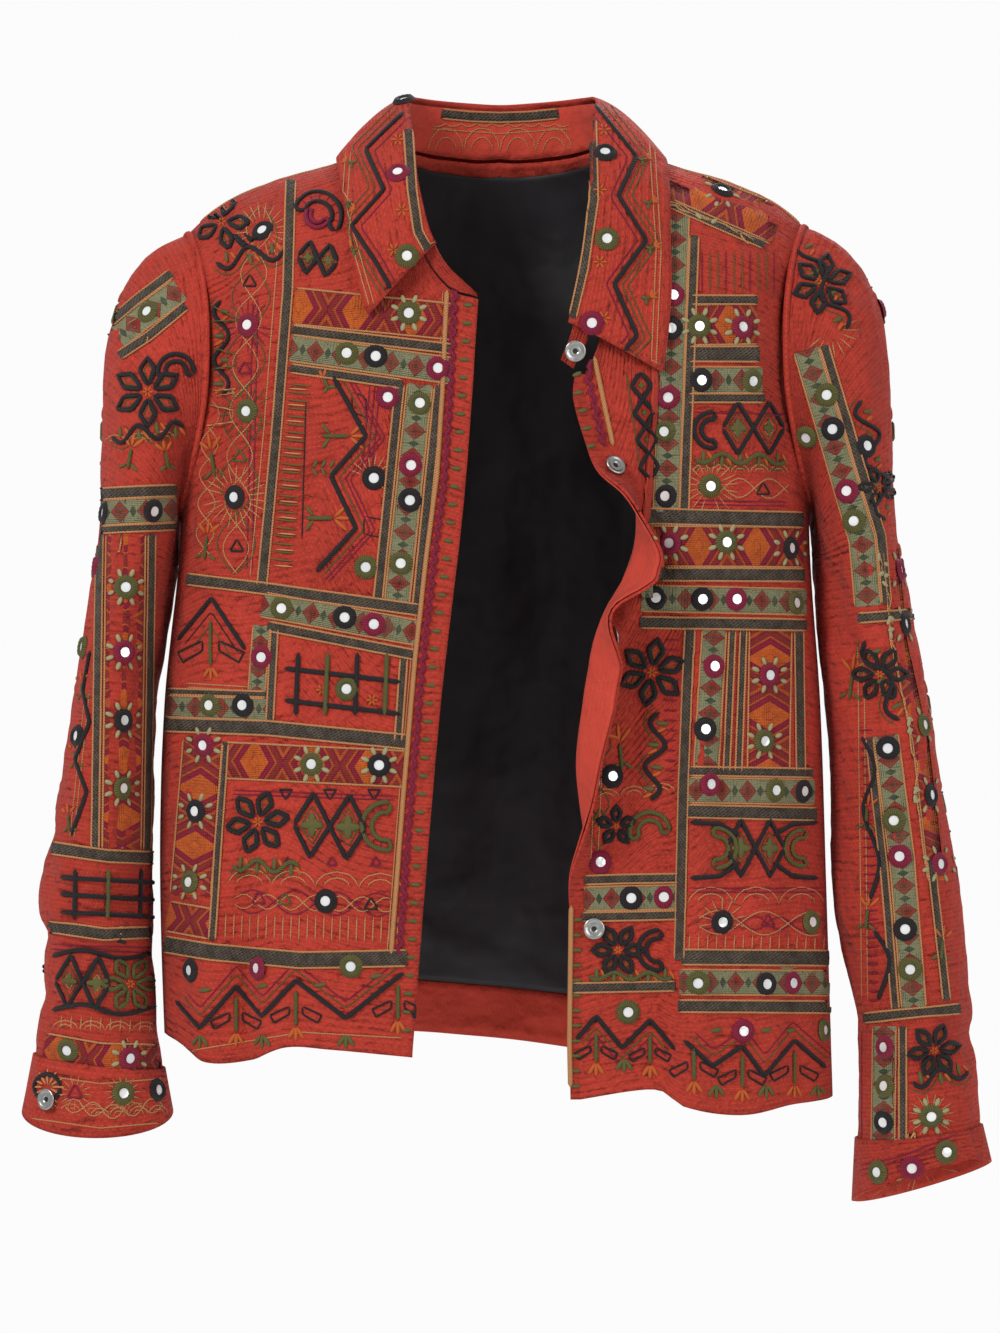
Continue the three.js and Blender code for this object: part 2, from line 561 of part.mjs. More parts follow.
// A sleeve: its first ring is the armhole, and below the underarm its rings are ellipses. Around is
// 0 on the outer side, a quarter over the front and a half on the inner side.
const CAP_SHARE = 0.34;
function sleeveSurface(side, rows, folds) {
  const armhole = (around) => {
    const inFront = around <= 0.5;
    const share = inFront ? around * 2 : (1 - around) * 2;
    const w = inFront ? share * UNDERARM_FRONT : -share * UNDERARM_BACK;
    return bareTorso(armholePlace(side, w));
  };
  const section = (around, z) => {
    const angle = around * 2 * Math.PI;
    const [outer, inner] = [follow(rows, "z", "outer", z), follow(rows, "z", "inner", z)];
    const half = (outer - inner) / 2;
    const lean = -0.12 * half * Math.cos(angle);
    return new THREE.Vector3(
      side * ((outer + inner) / 2 + half * Math.cos(angle)),
      follow(rows, "z", "y", z) - follow(rows, "z", "depth", z) * Math.sin(angle),
      z - lean,
    );
  };
  const [topZ, endZ] = [rows[0].z, rows[rows.length - 1].z];
  const bare = (around, v) => {
    const turn = ((around % 1) + 1) % 1;
    if (v >= CAP_SHARE) return section(turn, mix(topZ, endZ, (v - CAP_SHARE) / (1 - CAP_SHARE)));
    const t = v / CAP_SHARE;
    const start = armhole(turn);
    const end = section(turn, topZ);
    const top = 0.5 + 0.5 * Math.cos(turn * 2 * Math.PI);
    const front = Math.sin(turn * 2 * Math.PI);
    const gap = SEAM_GAP + 0.6 + 0.5 * top;
    start.add(new THREE.Vector3(side * gap, 0, -gap * 0.4));
    const length = start.distanceTo(end);
    const leave = new THREE.Vector3(side * 0.75, -0.12 * front, -0.25 - 0.55 * (1 - top))
      .normalize()
      .multiplyScalar(length * mix(0.6, 1.1, top));
    const arrive = section(turn, topZ - 20).sub(end).normalize().multiplyScalar(length);
    return new THREE.Vector3()
      .addScaledVector(start, 2 * t ** 3 - 3 * t ** 2 + 1)
      .addScaledVector(leave, t ** 3 - 2 * t ** 2 + t)
      .addScaledVector(end, 3 * t ** 2 - 2 * t ** 3)
      .addScaledVector(arrive, t ** 3 - t ** 2);
  };
  return (around, v) => {
    const spot = bare(around, v);
    const degrees = (((around % 1) + 1) % 1) * 360;
    let height = 0;
    for (const fold of folds) {
      const off = ((degrees - fold.angle + 540) % 360) - 180;
      const line = fold.z + fold.slant * (off / fold.reach);
      const across = (spot.z - line) / fold.width;
      const along = off / fold.reach;
      height += fold.height * Math.exp(-across * across - along * along);
    }
    const innerFade = 0.5 + 0.5 * ease((Math.abs(degrees - 180) - 20) / 30);
    const fadeEnds = ease(v * 8) * ease((1 - v) * 8);
    const normal = normalOf(bare, around, v).multiplyScalar(side);
    return spot.addScaledVector(normal, height * innerFade * fadeEnds);
  };
}
const rightSleeve = sleeveSurface(-1, RIGHT_SLEEVE, RIGHT_SLEEVE_FOLDS);
const leftSleeve = sleeveSurface(1, LEFT_SLEEVE, LEFT_SLEEVE_FOLDS);

// A cuff's outer face: it starts round the sleeve just above the sleeve's end and flares downwards
function cuffSurface(cuff, sleeve) {
  const laid = (around) => {
    const normal = normalOf(sleeve, around, CUFF_START).multiplyScalar(cuff.side);
    return sleeve(around, CUFF_START).addScaledVector(normal, CLOTH + SEAM_GAP);
  };
  return (around, v) => {
    const angle = around * 2 * Math.PI;
    const lower = new THREE.Vector3(
      cuff.side * (cuff.x + cuff.width * Math.cos(angle)),
      cuff.y - cuff.depth * Math.sin(angle),
      cuff.z + (cuff.rise / 2) * Math.cos(angle) - cuff.nod * Math.sin(angle),
    );
    return laid(around).lerp(lower, v);
  };
}
const rightCuff = cuffSurface(RIGHT_CUFF, rightSleeve);
const leftCuff = cuffSurface(LEFT_CUFF, leftSleeve);

// The collar: its stand rises from the neck seam to the fold, and its leaf turns down over the shell
const foldPoint = (row) =>
  new THREE.Vector3(collarAt("foldX", row), collarAt("foldY", row), collarAt("foldZ", row));
const LAST_ROW = COLLAR.length - 1;
const STAND_TOP_GAP = CLOTH + SEAM_GAP + 3;
function standFace(u, v) {
  const row = u * LAST_ROW;
  const seam = bareTorso(neckPlace(row));
  const up = foldPoint(row).sub(seam);
  const height = up.length();
  up.normalize();
  return seam.addScaledVector(up, mix(SEAM_GAP + 2.2, height - STAND_TOP_GAP - 4 * (1 - ease(row / 4)), v));
}
function leafFace(u, v) {
  const row = mix(LEAF_FIRST_ROW, LEAF_LAST_ROW, u);
  const fold = foldPoint(row);
  const edgeSpot = place(collarAt("edgeX", row), collarAt("edgeW", row));
  const away = torsoNormal(edgeSpot);
  const edge = bareTorso(edgeSpot).addScaledVector(away, LEAF_LIFT);
  const bow = fold.clone().lerp(edge, 0.35).addScaledVector(away, LEAF_ARCH);
  return new THREE.Vector3()
    .addScaledVector(fold, (1 - v) ** 2)
    .addScaledVector(bow, 2 * v * (1 - v))
    .addScaledVector(edge, v ** 2);
}

// A metal button: a domed disc with a hollow in the middle, on a short shank
function buttonGeometry() {
  const [radius, height, shank] = [BUTTON_RADIUS, BUTTON_HEIGHT, BUTTON_SHANK];
  const under = height * 0.65;
  const profile = [
    [0, 0],
    [shank, 0],
    [shank, under],
    [radius * 0.94, under + 0.2],
    [radius, under + 0.9],
    [radius * 0.86, height],
    [radius * 0.42, height * 0.86],
    [radius * 0.26, height * 0.6],
    [0, height * 0.6],
  ].map(([r, h]) => new THREE.Vector2(r, h));
  return new THREE.LatheGeometry(profile, 10);
}

const jacket = new THREE.Group();
const materials = Object.fromEntries(
  Object.entries(COLOURS).map(([name, look]) => [name, new THREE.MeshStandardMaterial(look)]),
);
function addPiece(name, geometry, material) {
  const mesh = new THREE.Mesh(geometry, materials[material]);
  mesh.name = name;
  jacket.add(mesh);
  return mesh;
}
// A button on a surface, standing just off it along its normal
function addButton(name, surface, u, v, flip) {
  const normal = normalOf(surface, u, v).multiplyScalar(flip ? -1 : 1);
  const button = addPiece(name, buttonGeometry(), "metal");
  button.position.copy(surface(u, v)).addScaledVector(normal, BUTTON_LIFT);
  button.quaternion.setFromUnitVectors(new THREE.Vector3(0, 1, 0), normal);
}

// Columns across the left front: finer over the rolled strip
const STRIP_COLUMNS = 7;
const leftColumns = [...steps(STRIP_COLUMNS, 0, STRIP_SHARE), ...steps(16, STRIP_SHARE, 1).slice(1)];
const rightSheet = sample(rightFrontFace, { us: steps(16), vs: steps(15), flip: true });
const leftSheet = sample(leftFrontFace, { us: leftColumns, vs: steps(25) });
const backSheet = sample(backFace, { us: steps(18), vs: steps(15), flip: true });
addPiece("front_right", wall(rightSheet), "shell");
addPiece("front_left", wall(leftSheet), "shell");
addPiece("back", wall(backSheet), "shell");

// What lies inside the shell, on the same columns and rows, stopping short of its seams
const inner = { thickness: LINING, offset: -(CLOTH + FACING_GAP) };
const loose = { thickness: LINING, offset: -(CLOTH + LINING_GAP) };
const lastRow = (sheet) => sheet.rows - 1;
const lastColumn = (sheet) => sheet.columns - 1;
const backColumns = span(0.7, lastColumn(backSheet) - 0.7);
const hemRow = (HEM_FACING / BACK_LENGTH) * lastRow(backSheet);
addPiece(
  "lining_back",
  wall(backSheet, { columns: backColumns, rows: span(hemRow, lastRow(backSheet) - 0.2), ...loose }),
  "lining",
);
addPiece(
  "hem_facing_back",
  wall(backSheet, { columns: backColumns, rows: span(0.05, hemRow - 0.02), ...inner }),
  "facing",
);
addPiece(
  "facing_right",
  wall(rightSheet, { columns: span(0.05, 4), rows: span(0.05, lastRow(rightSheet) - 0.2), ...inner }),
  "facing",
);
addPiece(
  "facing_left",
  wall(leftSheet, {
    columns: span(0.1, STRIP_COLUMNS - 0.8),
    rows: span(0.05, lastRow(leftSheet) - 0.2),
    ...inner,
  }),
  "facing",
);

const tubeColumns = { us: ring(20), tube: true };
const sleeveRows = [...steps(11, 0, 0.7), ...steps(8, 0.7, 1).slice(1)];
const cuffRows = { vs: steps(3) };
for (const [side, name, sleeve, cuff] of [
  [-1, "right", rightSleeve, rightCuff],
  [1, "left", leftSleeve, leftCuff],
]) {
  const flip = side < 0;
  addPiece(`sleeve_${name}`, wall(sample(sleeve, { ...tubeColumns, vs: sleeveRows, flip })), "shell");
  addPiece(`cuff_${name}`, wall(sample(cuff, { ...tubeColumns, ...cuffRows, flip })), "shell");
}

addPiece("collar_stand", wall(sample(standFace, { us: steps(38), vs: steps(2), flip: true })), "shell");
addPiece("collar_leaf", wall(sample(leafFace, { us: steps(34), vs: steps(5) })), "shell");

BUTTON_HEIGHTS.forEach((z, index) => {
  const v = (z - LEFT_HEM[0].z) / (tableTop(LAPEL) - LEFT_HEM[0].z);
  const width = follow(LAPEL, "z", "width", z);
  const u = BUTTON_INSET < width ? STRIP_SHARE * (BUTTON_INSET / width) : STRIP_SHARE + 0.02;
  addButton(`button_${index + 1}`, leftFrontFace, u, v, false);
});
addButton(STAND_BUTTON.name, standFace, STAND_BUTTON.along / LAST_ROW, STAND_BUTTON.up, true);
for (const { name, side, angle, down } of CUFF_BUTTONS)
  addButton(name, side < 0 ? rightCuff : leftCuff, angle / 360, down, side < 0);

export default jacket;
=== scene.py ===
import math
from bisect import bisect_right

import bmesh
import bpy
from bpy.props import FloatProperty, FloatVectorProperty, PointerProperty
from mathutils import Matrix, Vector, noise
from mathutils.bvhtree import BVHTree


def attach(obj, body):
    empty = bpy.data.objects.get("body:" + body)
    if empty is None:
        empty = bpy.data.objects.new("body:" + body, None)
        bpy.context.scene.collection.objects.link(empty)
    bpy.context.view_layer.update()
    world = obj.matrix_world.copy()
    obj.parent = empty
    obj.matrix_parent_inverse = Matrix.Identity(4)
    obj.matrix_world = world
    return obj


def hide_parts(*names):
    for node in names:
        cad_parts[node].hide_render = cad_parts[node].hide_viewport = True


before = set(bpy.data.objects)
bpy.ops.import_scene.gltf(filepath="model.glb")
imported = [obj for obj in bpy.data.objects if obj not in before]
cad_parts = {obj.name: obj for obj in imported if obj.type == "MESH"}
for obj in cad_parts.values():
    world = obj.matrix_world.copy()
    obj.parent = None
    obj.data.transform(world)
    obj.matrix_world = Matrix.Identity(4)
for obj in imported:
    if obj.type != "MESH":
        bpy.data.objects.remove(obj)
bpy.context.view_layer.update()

bl_info = {
    "name": "Embroidered jacket",
    "version": (1, 0, 0),
    "blender": (4, 5, 0),
    "location": "View3D > Sidebar > Jacket",
    "description": "Builds an embroidered cotton jacket, open at the front, with mirror stitches",
    "category": "Add Mesh",
}

MM = 0.001
QUARTER = math.pi / 2

# The view that places the embroidery: its height in pixels, the pixel of the origin, millimetres
# to a pixel on a plane this far in front of the origin, the camera's distance and its height
VIEW_PIXELS = 1333
ORIGIN_X, ORIGIN_Y = 500, 165
PIXEL = 0.70
VIEW_PLANE = -80.0
VIEW_DISTANCE = 3500.0
VIEW_HEIGHT = -351.0

# Cloth
CLOTH = 1.8
LINING = 1.0
SEAM_GAP = 0.3
FACING_GAP = 0.9
LINING_GAP = 1.6


def table(names, *rows):
    return [dict(zip(names.split(), row)) for row in rows]


# Half-width to each side seam and depth to front and back, by height
TORSO = table(
    "z right left front back",
    (50, 238, 232, 103, 84),
    (-120, 232, 226, 108, 94),
    (-250, 228, 221, 108, 92),
    (-380, 240, 229, 102, 82),
    (-500, 243, 233, 100, 79),
    (-665, 238, 238, 104, 84),
)
RIDGE = table(
    "x z",
    (0, 44),
    (40, 38),
    (78, 24),
    (112, 10),
    (160, -4),
    (200, -22),
    (224, -42),
    (250, -68),
)
ARMHOLE = table(
    "drop share",
    (0, 0.955),
    (0.19, 0.932),
    (0.37, 0.905),
    (0.56, 0.888),
    (0.75, 0.902),
    (0.89, 0.948),
    (1, 1),
)
SIDE_ROUNDNESS = 2.6
SHOULDER_ROUND = {1: 120, -1: 95}
SHOULDER_SEAM = 26
UNDERARM = {1: 268, -1: 254}
RIGHT_EDGE = table("z x", (-622, 61), (-515, 53), (-375, 41), (-235, 25), (-96, 15))
RIGHT_HEM = table(
    "x z", (61, -623), (120, -618), (150, -617), (178, -627), (205, -629), (226, -617), (238, -612)
)
LEFT_HEM = table(
    "x z", (50, -653), (98, -646), (116, -647), (128, -657), (168, -664), (205, -659), (238, -657)
)
BACK_HEM = table("x z", (-238, -612), (-120, -614), (0, -624), (120, -640), (238, -657))
LAPEL = table(
    "z x width turn",
    (-657, 57, 7, 0),
    (-600, 56, 7, 0),
    (-540, 58, 8, 0),
    (-510, 62, 13, 10),
    (-480, 68, 20, 42),
    (-450, 65, 25, 98),
    (-417, 63, 30, 130),
    (-375, 68, 34, 138),
    (-340, 75, 38, 134),
    (-297, 90, 40, 104),
    (-262, 101, 38, 68),
    (-230, 98, 29, 30),
    (-200, 79, 18, 12),
    (-165, 60, 9, 0),
    (-148, 59, 7, 0),
)
LAPEL_BEND = 6
ROLL_STEPS = 16
FOLD_COLUMNS = "x lean top bottom width height"
FRONT_FOLDS = table(
    FOLD_COLUMNS,
    (-196, -6, -40, -250, 11, -7),
    (-182, 2, -470, -720, 10, -8),
    (-208, 4, -470, -720, 12, 5),
    (-110, 14, -330, -600, 26, 4),
    (112, -6, -150, -330, 12, -12),
    (139, -6, -300, -760, 11, 5),
    (96, -6, -300, -520, 18, -7),
    (196, 4, -40, -250, 12, -6),
    (206, 6, -420, -720, 14, -5),
)
BACK_FOLDS = table(
    FOLD_COLUMNS,
    (-128, -10, -120, -740, 22, 5),
    (-74, -8, -200, -740, 24, -6),
    (6, 6, -160, -740, 26, 4),
    (82, 10, -220, -740, 24, -6),
    (140, 12, -140, -740, 24, 5),
)
STEP = {"x": 134, "lean": -11, "top": -290, "full": -380, "width": 5, "depth": 14}
COLLAR = table(
    "x w foldX foldY foldZ edgeX edgeW",
    (-15, 207, -18, -104, -83, -70, 205),
    (-36, 196, -44, -109, -57, -91, 194),
    (-56, 160, -55, -99, -22, -101, 148),
    (-71, 92, -60, -68, 13, -109, 91),
    (-78, 26, -64, -26, 46, -115, 30),
    (-77, -8, -66, 6, 58, -112, -15),
    (-70, -34, -60, 32, 60, -96, -50),
    (-50, -58, -46, 50, 60, -66, -78),
    (-25, -71, -24, 59, 59, -33, -92),
    (0, -75, 0, 62, 58, 0, -97),
    (25, -71, 24, 59, 59, 33, -92),
    (50, -58, 46, 50, 60, 66, -78),
    (70, -34, 62, 32, 60, 96, -50),
    (77, -8, 68, 6, 57, 113, -15),
    (78, 26, 68, -28, 45, 117, 24),
    (78, 86, 65, -66, 18, 118, 76),
    (75, 134, 62, -97, -24, 118, 130),
    (71, 179, 57, -109, -66, 118, 174),
    (64, 220, 47, -112, -112, 112, 225),
    (53, 248, 38, -109, -135, 100, 240),
)
RIGHT_SHOULDER_ROW, LEFT_SHOULDER_ROW = 4, 14
LEAF_ROWS = (1, 18)
LAST_ROW = len(COLLAR) - 1
LEAF_LIFT, LEAF_ARCH = 5, 13
SLEEVE_COLUMNS = "z outer inner y depth"
RIGHT_SLEEVE = table(
    SLEEVE_COLUMNS,
    (-276, 289, 231, 4, 79),
    (-330, 298, 239, 2, 77),
    (-385, 306, 246, 0, 74),
    (-450, 316, 248, -4, 69),
    (-520, 330, 248, -8, 62),
    (-560, 325, 247, -10, 58),
    (-600, 328, 245, -12, 53),
    (-640, 332, 240, -14, 43),
)
LEFT_SLEEVE = table(
    SLEEVE_COLUMNS,
    (-272, 286, 224, 4, 79),
    (-335, 298, 228, 2, 77),
    (-385, 307, 234, 0, 74),
    (-450, 317, 237, -3, 70),
    (-520, 329, 239, -6, 65),
    (-592, 336, 254, -8, 58),
    (-640, 340, 256, -9, 52),
    (-692, 343, 256, -10, 42),
)
CREASE_COLUMNS = "z angle slant reach width height"
RIGHT_CREASES = table(
    CREASE_COLUMNS,
    (-508, 75, -10, 70, 9, -3),
    (-532, 60, 14, 75, 8, -5),
    (-552, 95, -10, 80, 7, -5),
    (-575, 70, 12, 80, 8, -5),
    (-598, 80, -8, 70, 8, -4),
    (-470, 20, 10, 60, 14, -3),
    (-350, 150, -30, 60, 18, -5),
    (-545, 250, 12, 80, 9, -5),
    (-400, 270, 20, 70, 16, -4),
)
LEFT_CREASES = table(
    CREASE_COLUMNS,
    (-345, 125, 60, 38, 42, -9),
    (-470, 120, 40, 34, 50, -8),
    (-600, 60, 14, 70, 9, -5),
    (-628, 80, -12, 70, 8, -5),
    (-654, 60, 10, 60, 8, -4),
    (-590, 255, 12, 80, 9, -5),
    (-420, 275, -20, 70, 16, -4),
)
CAP_SHARE = 0.34
CUFF_START = 0.985
RIGHT_CUFF, LEFT_CUFF = table(
    "side x y z width depth rise nod",
    (-1, 287, -14, -668, 54, 47, 2, 15),
    (1, 301, -10, -718, 50, 45, 27, -11),
)
UNDERARM_SHARE = 0.6
FRONT_NECK_SHARE = 0.375
BACK_NECK_SHARE = 1 / 3
STRIP_SHARE = 0.3
BUTTONS = ["button_" + end for end in ("1", "2", "3", "4", "collar", "cuff_right", "cuff_left")]


def mix(a, b, t):
    return a + (b - a) * t


def clamp01(t):
    return min(1.0, max(0.0, t))


def ease(t):
    t = clamp01(t)
    return t * t * (3 - 2 * t)


class Curve:
    """A smooth curve through the rows of a table, one column against another."""

    def __init__(self, rows, by, column):
        pairs = sorted((row[by], row[column]) for row in rows)
        self.x = [p[0] for p in pairs]
        self.y = [p[1] for p in pairs]
        last = len(pairs) - 1
        self.slope = []
        for n in range(last + 1):
            a, b = max(0, n - 1), min(last, n + 1)
            self.slope.append((self.y[b] - self.y[a]) / (self.x[b] - self.x[a]))

    def __call__(self, at):
        x, y, m = self.x, self.y, self.slope
        if at <= x[0]:
            return y[0]
        if at >= x[-1]:
            return y[-1]
        i = bisect_right(x, at) - 1
        span = x[i + 1] - x[i]
        t = (at - x[i]) / span
        return (
            (2 * t**3 - 3 * t**2 + 1) * y[i]
            + (t**3 - 2 * t**2 + t) * span * m[i]
            + (3 * t**2 - 2 * t**3) * y[i + 1]
            + (t**3 - t**2) * span * m[i + 1]
        )


ridge_curve = Curve(RIDGE, "x", "z")
half_curves = {-1: Curve(TORSO, "z", "right"), 1: Curve(TORSO, "z", "left")}
depth_curves = {-1: Curve(TORSO, "z", "back"), 1: Curve(TORSO, "z", "front")}
armhole_curve = Curve(ARMHOLE, "drop", "share")
COLLAR_ROWS = [dict(row, index=i) for i, row in enumerate(COLLAR)]
collar_curves = {name: Curve(COLLAR_ROWS, "index", name) for name in COLLAR[0]}


def ridge(x):
    return ridge_curve(abs(x))


def height_at(x, w):
    round_ = SHOULDER_ROUND[-1 if w < 0 else 1]
    over = abs(w) - round_ * QUARTER
    if over > 0:
        return ridge(x) - round_ - over
    return ridge(x) - round_ * (1 - math.cos(w / round_))


def distance_at(x, z, face):
    round_ = SHOULDER_ROUND[face]
    drop = max(0, ridge(x) - z)
    if drop > round_:
        return face * (round_ * QUARTER + drop - round_)
    return face * round_ * math.acos(1 - drop / round_)


def place(x, w):
    side = -1 if x < 0 else 1
    share = min(1, abs(x) / half_curves[side](height_at(x, w)))
    return side * math.asin(share), w


def place_at(x, z, face):
    return place(x, distance_at(x, z, face))


def fold_depth(folds, x, z):
    height = 0
    for fold in folds:
        down = (fold["top"] - z) / (fold["top"] - fold["bottom"])
        if not 0 < down < 1:
            continue
        fade = ease(down * 4) * ease((1 - down) * 4)
        off = (x - fold["x"] - fold["lean"] * down) / fold["width"]
        height += fold["height"] * fade * math.exp(-off * off)
    return height


def step_depth(x, z):
    down = clamp01((STEP["top"] - z) / (STEP["top"] - STEP["full"]))
    line = STEP["x"] + STEP["lean"] * clamp01((STEP["top"] - z) / 370)
    return -STEP["depth"] * ease(down) * (0.5 - 0.5 * math.tanh((x - line) / STEP["width"]))


def bare_torso(spot):
    turn, w = spot
    side = -1 if turn < 0 else 1
    share = abs(math.sin(turn))
    half = half_curves[side]
    z = height_at(share * half(0), w)
    for _ in range(3):
        z = height_at(share * half(z), w)
    round_ = SHOULDER_ROUND[-1 if w < 0 else 1]
    lift = 1 if abs(w) > round_ * QUARTER else math.sin(abs(w) / round_)
    fullness = max(0, 1 - share**SIDE_ROUNDNESS) ** (1 / SIDE_ROUNDNESS)
    depth = depth_curves[-1 if w < 0 else 1](z)
    out = depth * fullness * lift + SEAM_GAP / 2
    return Vector((side * share * half(z), out if w < 0 else -out, z))


def torso_normal(spot):
    turn, w = spot
    middle = max(0.01 - QUARTER, min(QUARTER - 0.01, turn))
    across = bare_torso((middle + 0.005, w)) - bare_torso((middle - 0.005, w))
    down = bare_torso((middle, w + 0.5)) - bare_torso((middle, w - 0.5))
    return down.cross(across).normalized()


def crumple(point, size=1.0):
    """The small unevenness of washed, closely stitched cloth."""
    at = Vector(point)
    return size * (
        0.9 * noise.noise(at * 0.045) + 0.5 * noise.noise(at * 0.11 + Vector((7, 3, 1)))
    )


def torso(spot, rough=1.0):
    bare = bare_torso(spot)
    side_fade = ease((QUARTER - abs(spot[0])) / 0.3)
    if spot[1] < 0:
        height = fold_depth(BACK_FOLDS, bare.x, bare.z)
    else:
        height = fold_depth(FRONT_FOLDS, bare.x, bare.z)
        if bare.x > 0:
            height += step_depth(bare.x, bare.z)
    height = (height + crumple(bare, rough)) * side_fade
    return bare + torso_normal(spot) * height


def patch(bottom, top, start, end):
    corners = [bottom(0), bottom(1), top(0), top(1)]

    def spot(u, v):
        b, t, s, e = bottom(u), top(u), start(v), end(v)
        return tuple(
            mix(b[k], t[k], v)
            + mix(s[k], e[k], u)
            - mix(mix(corners[0][k], corners[1][k], u), mix(corners[2][k], corners[3][k], u), v)
            for k in (0, 1)
        )

    return spot


def neck_place(row):
    return place(collar_curves["x"](row), collar_curves["w"](row))


def armhole_place(side, w):
    share = armhole_curve(min(1, abs(w) / UNDERARM[-1 if w < 0 else 1]))
    return side * math.asin(min(1, share)), w


def armhole_spot(side, around):
    """The place at a share of the way round an armhole, from the shoulder down the front."""
    if around <= 0.5:
        return armhole_place(side, around * 2 * UNDERARM[1])
    return armhole_place(side, (around - 1) * 2 * UNDERARM[-1])


def joined(split, first, second):
    return lambda t: first(t / split) if t < split else second((t - split) / (1 - split))


def side_border(side, face, hem_z):
    hem = place_at(side * (half_curves[side](hem_z) - 0.01), hem_z, face)[1]
    underarm = face * UNDERARM[face]
    top = SHOULDER_SEAM + face * SEAM_GAP / 2
    return joined(
        UNDERARM_SHARE,
        lambda t: (side * QUARTER, mix(hem, underarm, t)),
        lambda t: armhole_place(side, mix(underarm, top, t)),
    )


def shoulder_line(side, start, end, w):
    return lambda t: place(side * mix(start, end, t), w)


SIDE_NECK = abs(COLLAR[RIGHT_SHOULDER_ROW]["x"])


def shoulder_end(side):
    return abs(bare_torso(armhole_place(side, SHOULDER_SEAM)).x)


def front_patch(side, hem, edge_place, corner_row, side_neck_row):
    hem_curve = Curve(hem, "x", "z")
    hem_z = hem[-1]["z"]
    first_turn = edge_place(0)[0]

    def bottom(t):
        turn = mix(first_turn, side * QUARTER, t)
        x = math.sin(abs(turn)) * half_curves[side](hem_z)
        return turn, distance_at(x, hem_curve(x), 1)

    top = joined(
        FRONT_NECK_SHARE,
        lambda t: neck_place(mix(corner_row, side_neck_row, t)),
        shoulder_line(side, SIDE_NECK, shoulder_end(side), SHOULDER_SEAM + SEAM_GAP / 2),
    )
    return patch(bottom, top, edge_place, side_border(side, 1, hem_z))


right_edge_curve = Curve(RIGHT_EDGE, "z", "x")
lapel_curves = {name: Curve(LAPEL, "z", name) for name in ("x", "width", "turn")}


def right_edge(t):
    z = mix(RIGHT_HEM[0]["z"], RIGHT_EDGE[-1]["z"], t)
    return place_at(-right_edge_curve(z), z, 1)


def left_roll_z(t):
    return mix(LEFT_HEM[0]["z"], LAPEL[-1]["z"], t)


def left_roll(t):
    return place_at(lapel_curves["x"](left_roll_z(t)), left_roll_z(t), 1)


right_front_spot = front_patch(-1, RIGHT_HEM, right_edge, 0, RIGHT_SHOULDER_ROW)
left_front_spot = front_patch(1, LEFT_HEM, left_roll, LAST_ROW, LEFT_SHOULDER_ROW)


def make_back_spot():
    seam = SHOULDER_SEAM - SEAM_GAP / 2
    hem_curve = Curve(BACK_HEM, "x", "z")
    hem_z = BACK_HEM[0]["z"], BACK_HEM[-1]["z"]
    shoulder_share = (1 - BACK_NECK_SHARE) / 2

    def bottom(t):
        turn = mix(-QUARTER, QUARTER, t)
        x = math.sin(turn) * half_curves[-1 if turn < 0 else 1](hem_z[0])
        return turn, distance_at(x, hem_curve(x), -1)

    top = joined(
        shoulder_share,
        lambda t: shoulder_line(-1, shoulder_end(-1), SIDE_NECK, seam)(t),
        joined(
            BACK_NECK_SHARE / (1 - shoulder_share),
            lambda t: neck_place(mix(RIGHT_SHOULDER_ROW, LEFT_SHOULDER_ROW, t)),
            shoulder_line(1, SIDE_NECK, shoulder_end(1), seam),
        ),
    )
    return patch(bottom, top, side_border(-1, -1, hem_z[0]), side_border(1, -1, hem_z[1]))


back_spot = make_back_spot()


def right_front_face(u, v):
    return torso(right_front_spot(u, v))


def back_face(u, v):
    return torso(back_spot(u, v))


def left_front_face(u, v):
    """The left front; below STRIP_SHARE u runs over the strip that rolls outwards."""
    if u >= STRIP_SHARE:
        across = (u - STRIP_SHARE) / (1 - STRIP_SHARE)
        return torso(left_front_spot(across, v), ease(across * 12))
    z = left_roll_z(clamp01(v))
    width = lapel_curves["width"](z)
    turn = math.radians(lapel_curves["turn"](z))
    root = torso(left_front_spot(0, v), 0)
    ahead = root - torso(left_front_spot(0.02, v), 0)
    ahead.z = 0
    ahead.normalize()
    outward = Vector((ahead.y, -ahead.x, 0))
    bend = min(width, max(4, LAPEL_BEND * turn))
    reach = width * (1 - u / STRIP_SHARE)
    step = reach / ROLL_STEPS
    for n in range(ROLL_STEPS):
        angle = turn * ease((n + 0.5) * step / bend)
        root += ahead * (math.cos(angle) * step)
        root -= outward * (math.sin(angle) * step)
    return root


def surface_normal(surface, u, v):
    across = surface(min(1, u + 1e-3), v) - surface(max(0, u - 1e-3), v)
    along = surface(u, min(1, v + 1e-3)) - surface(u, max(0, v - 1e-3))
    return across.cross(along).normalized()


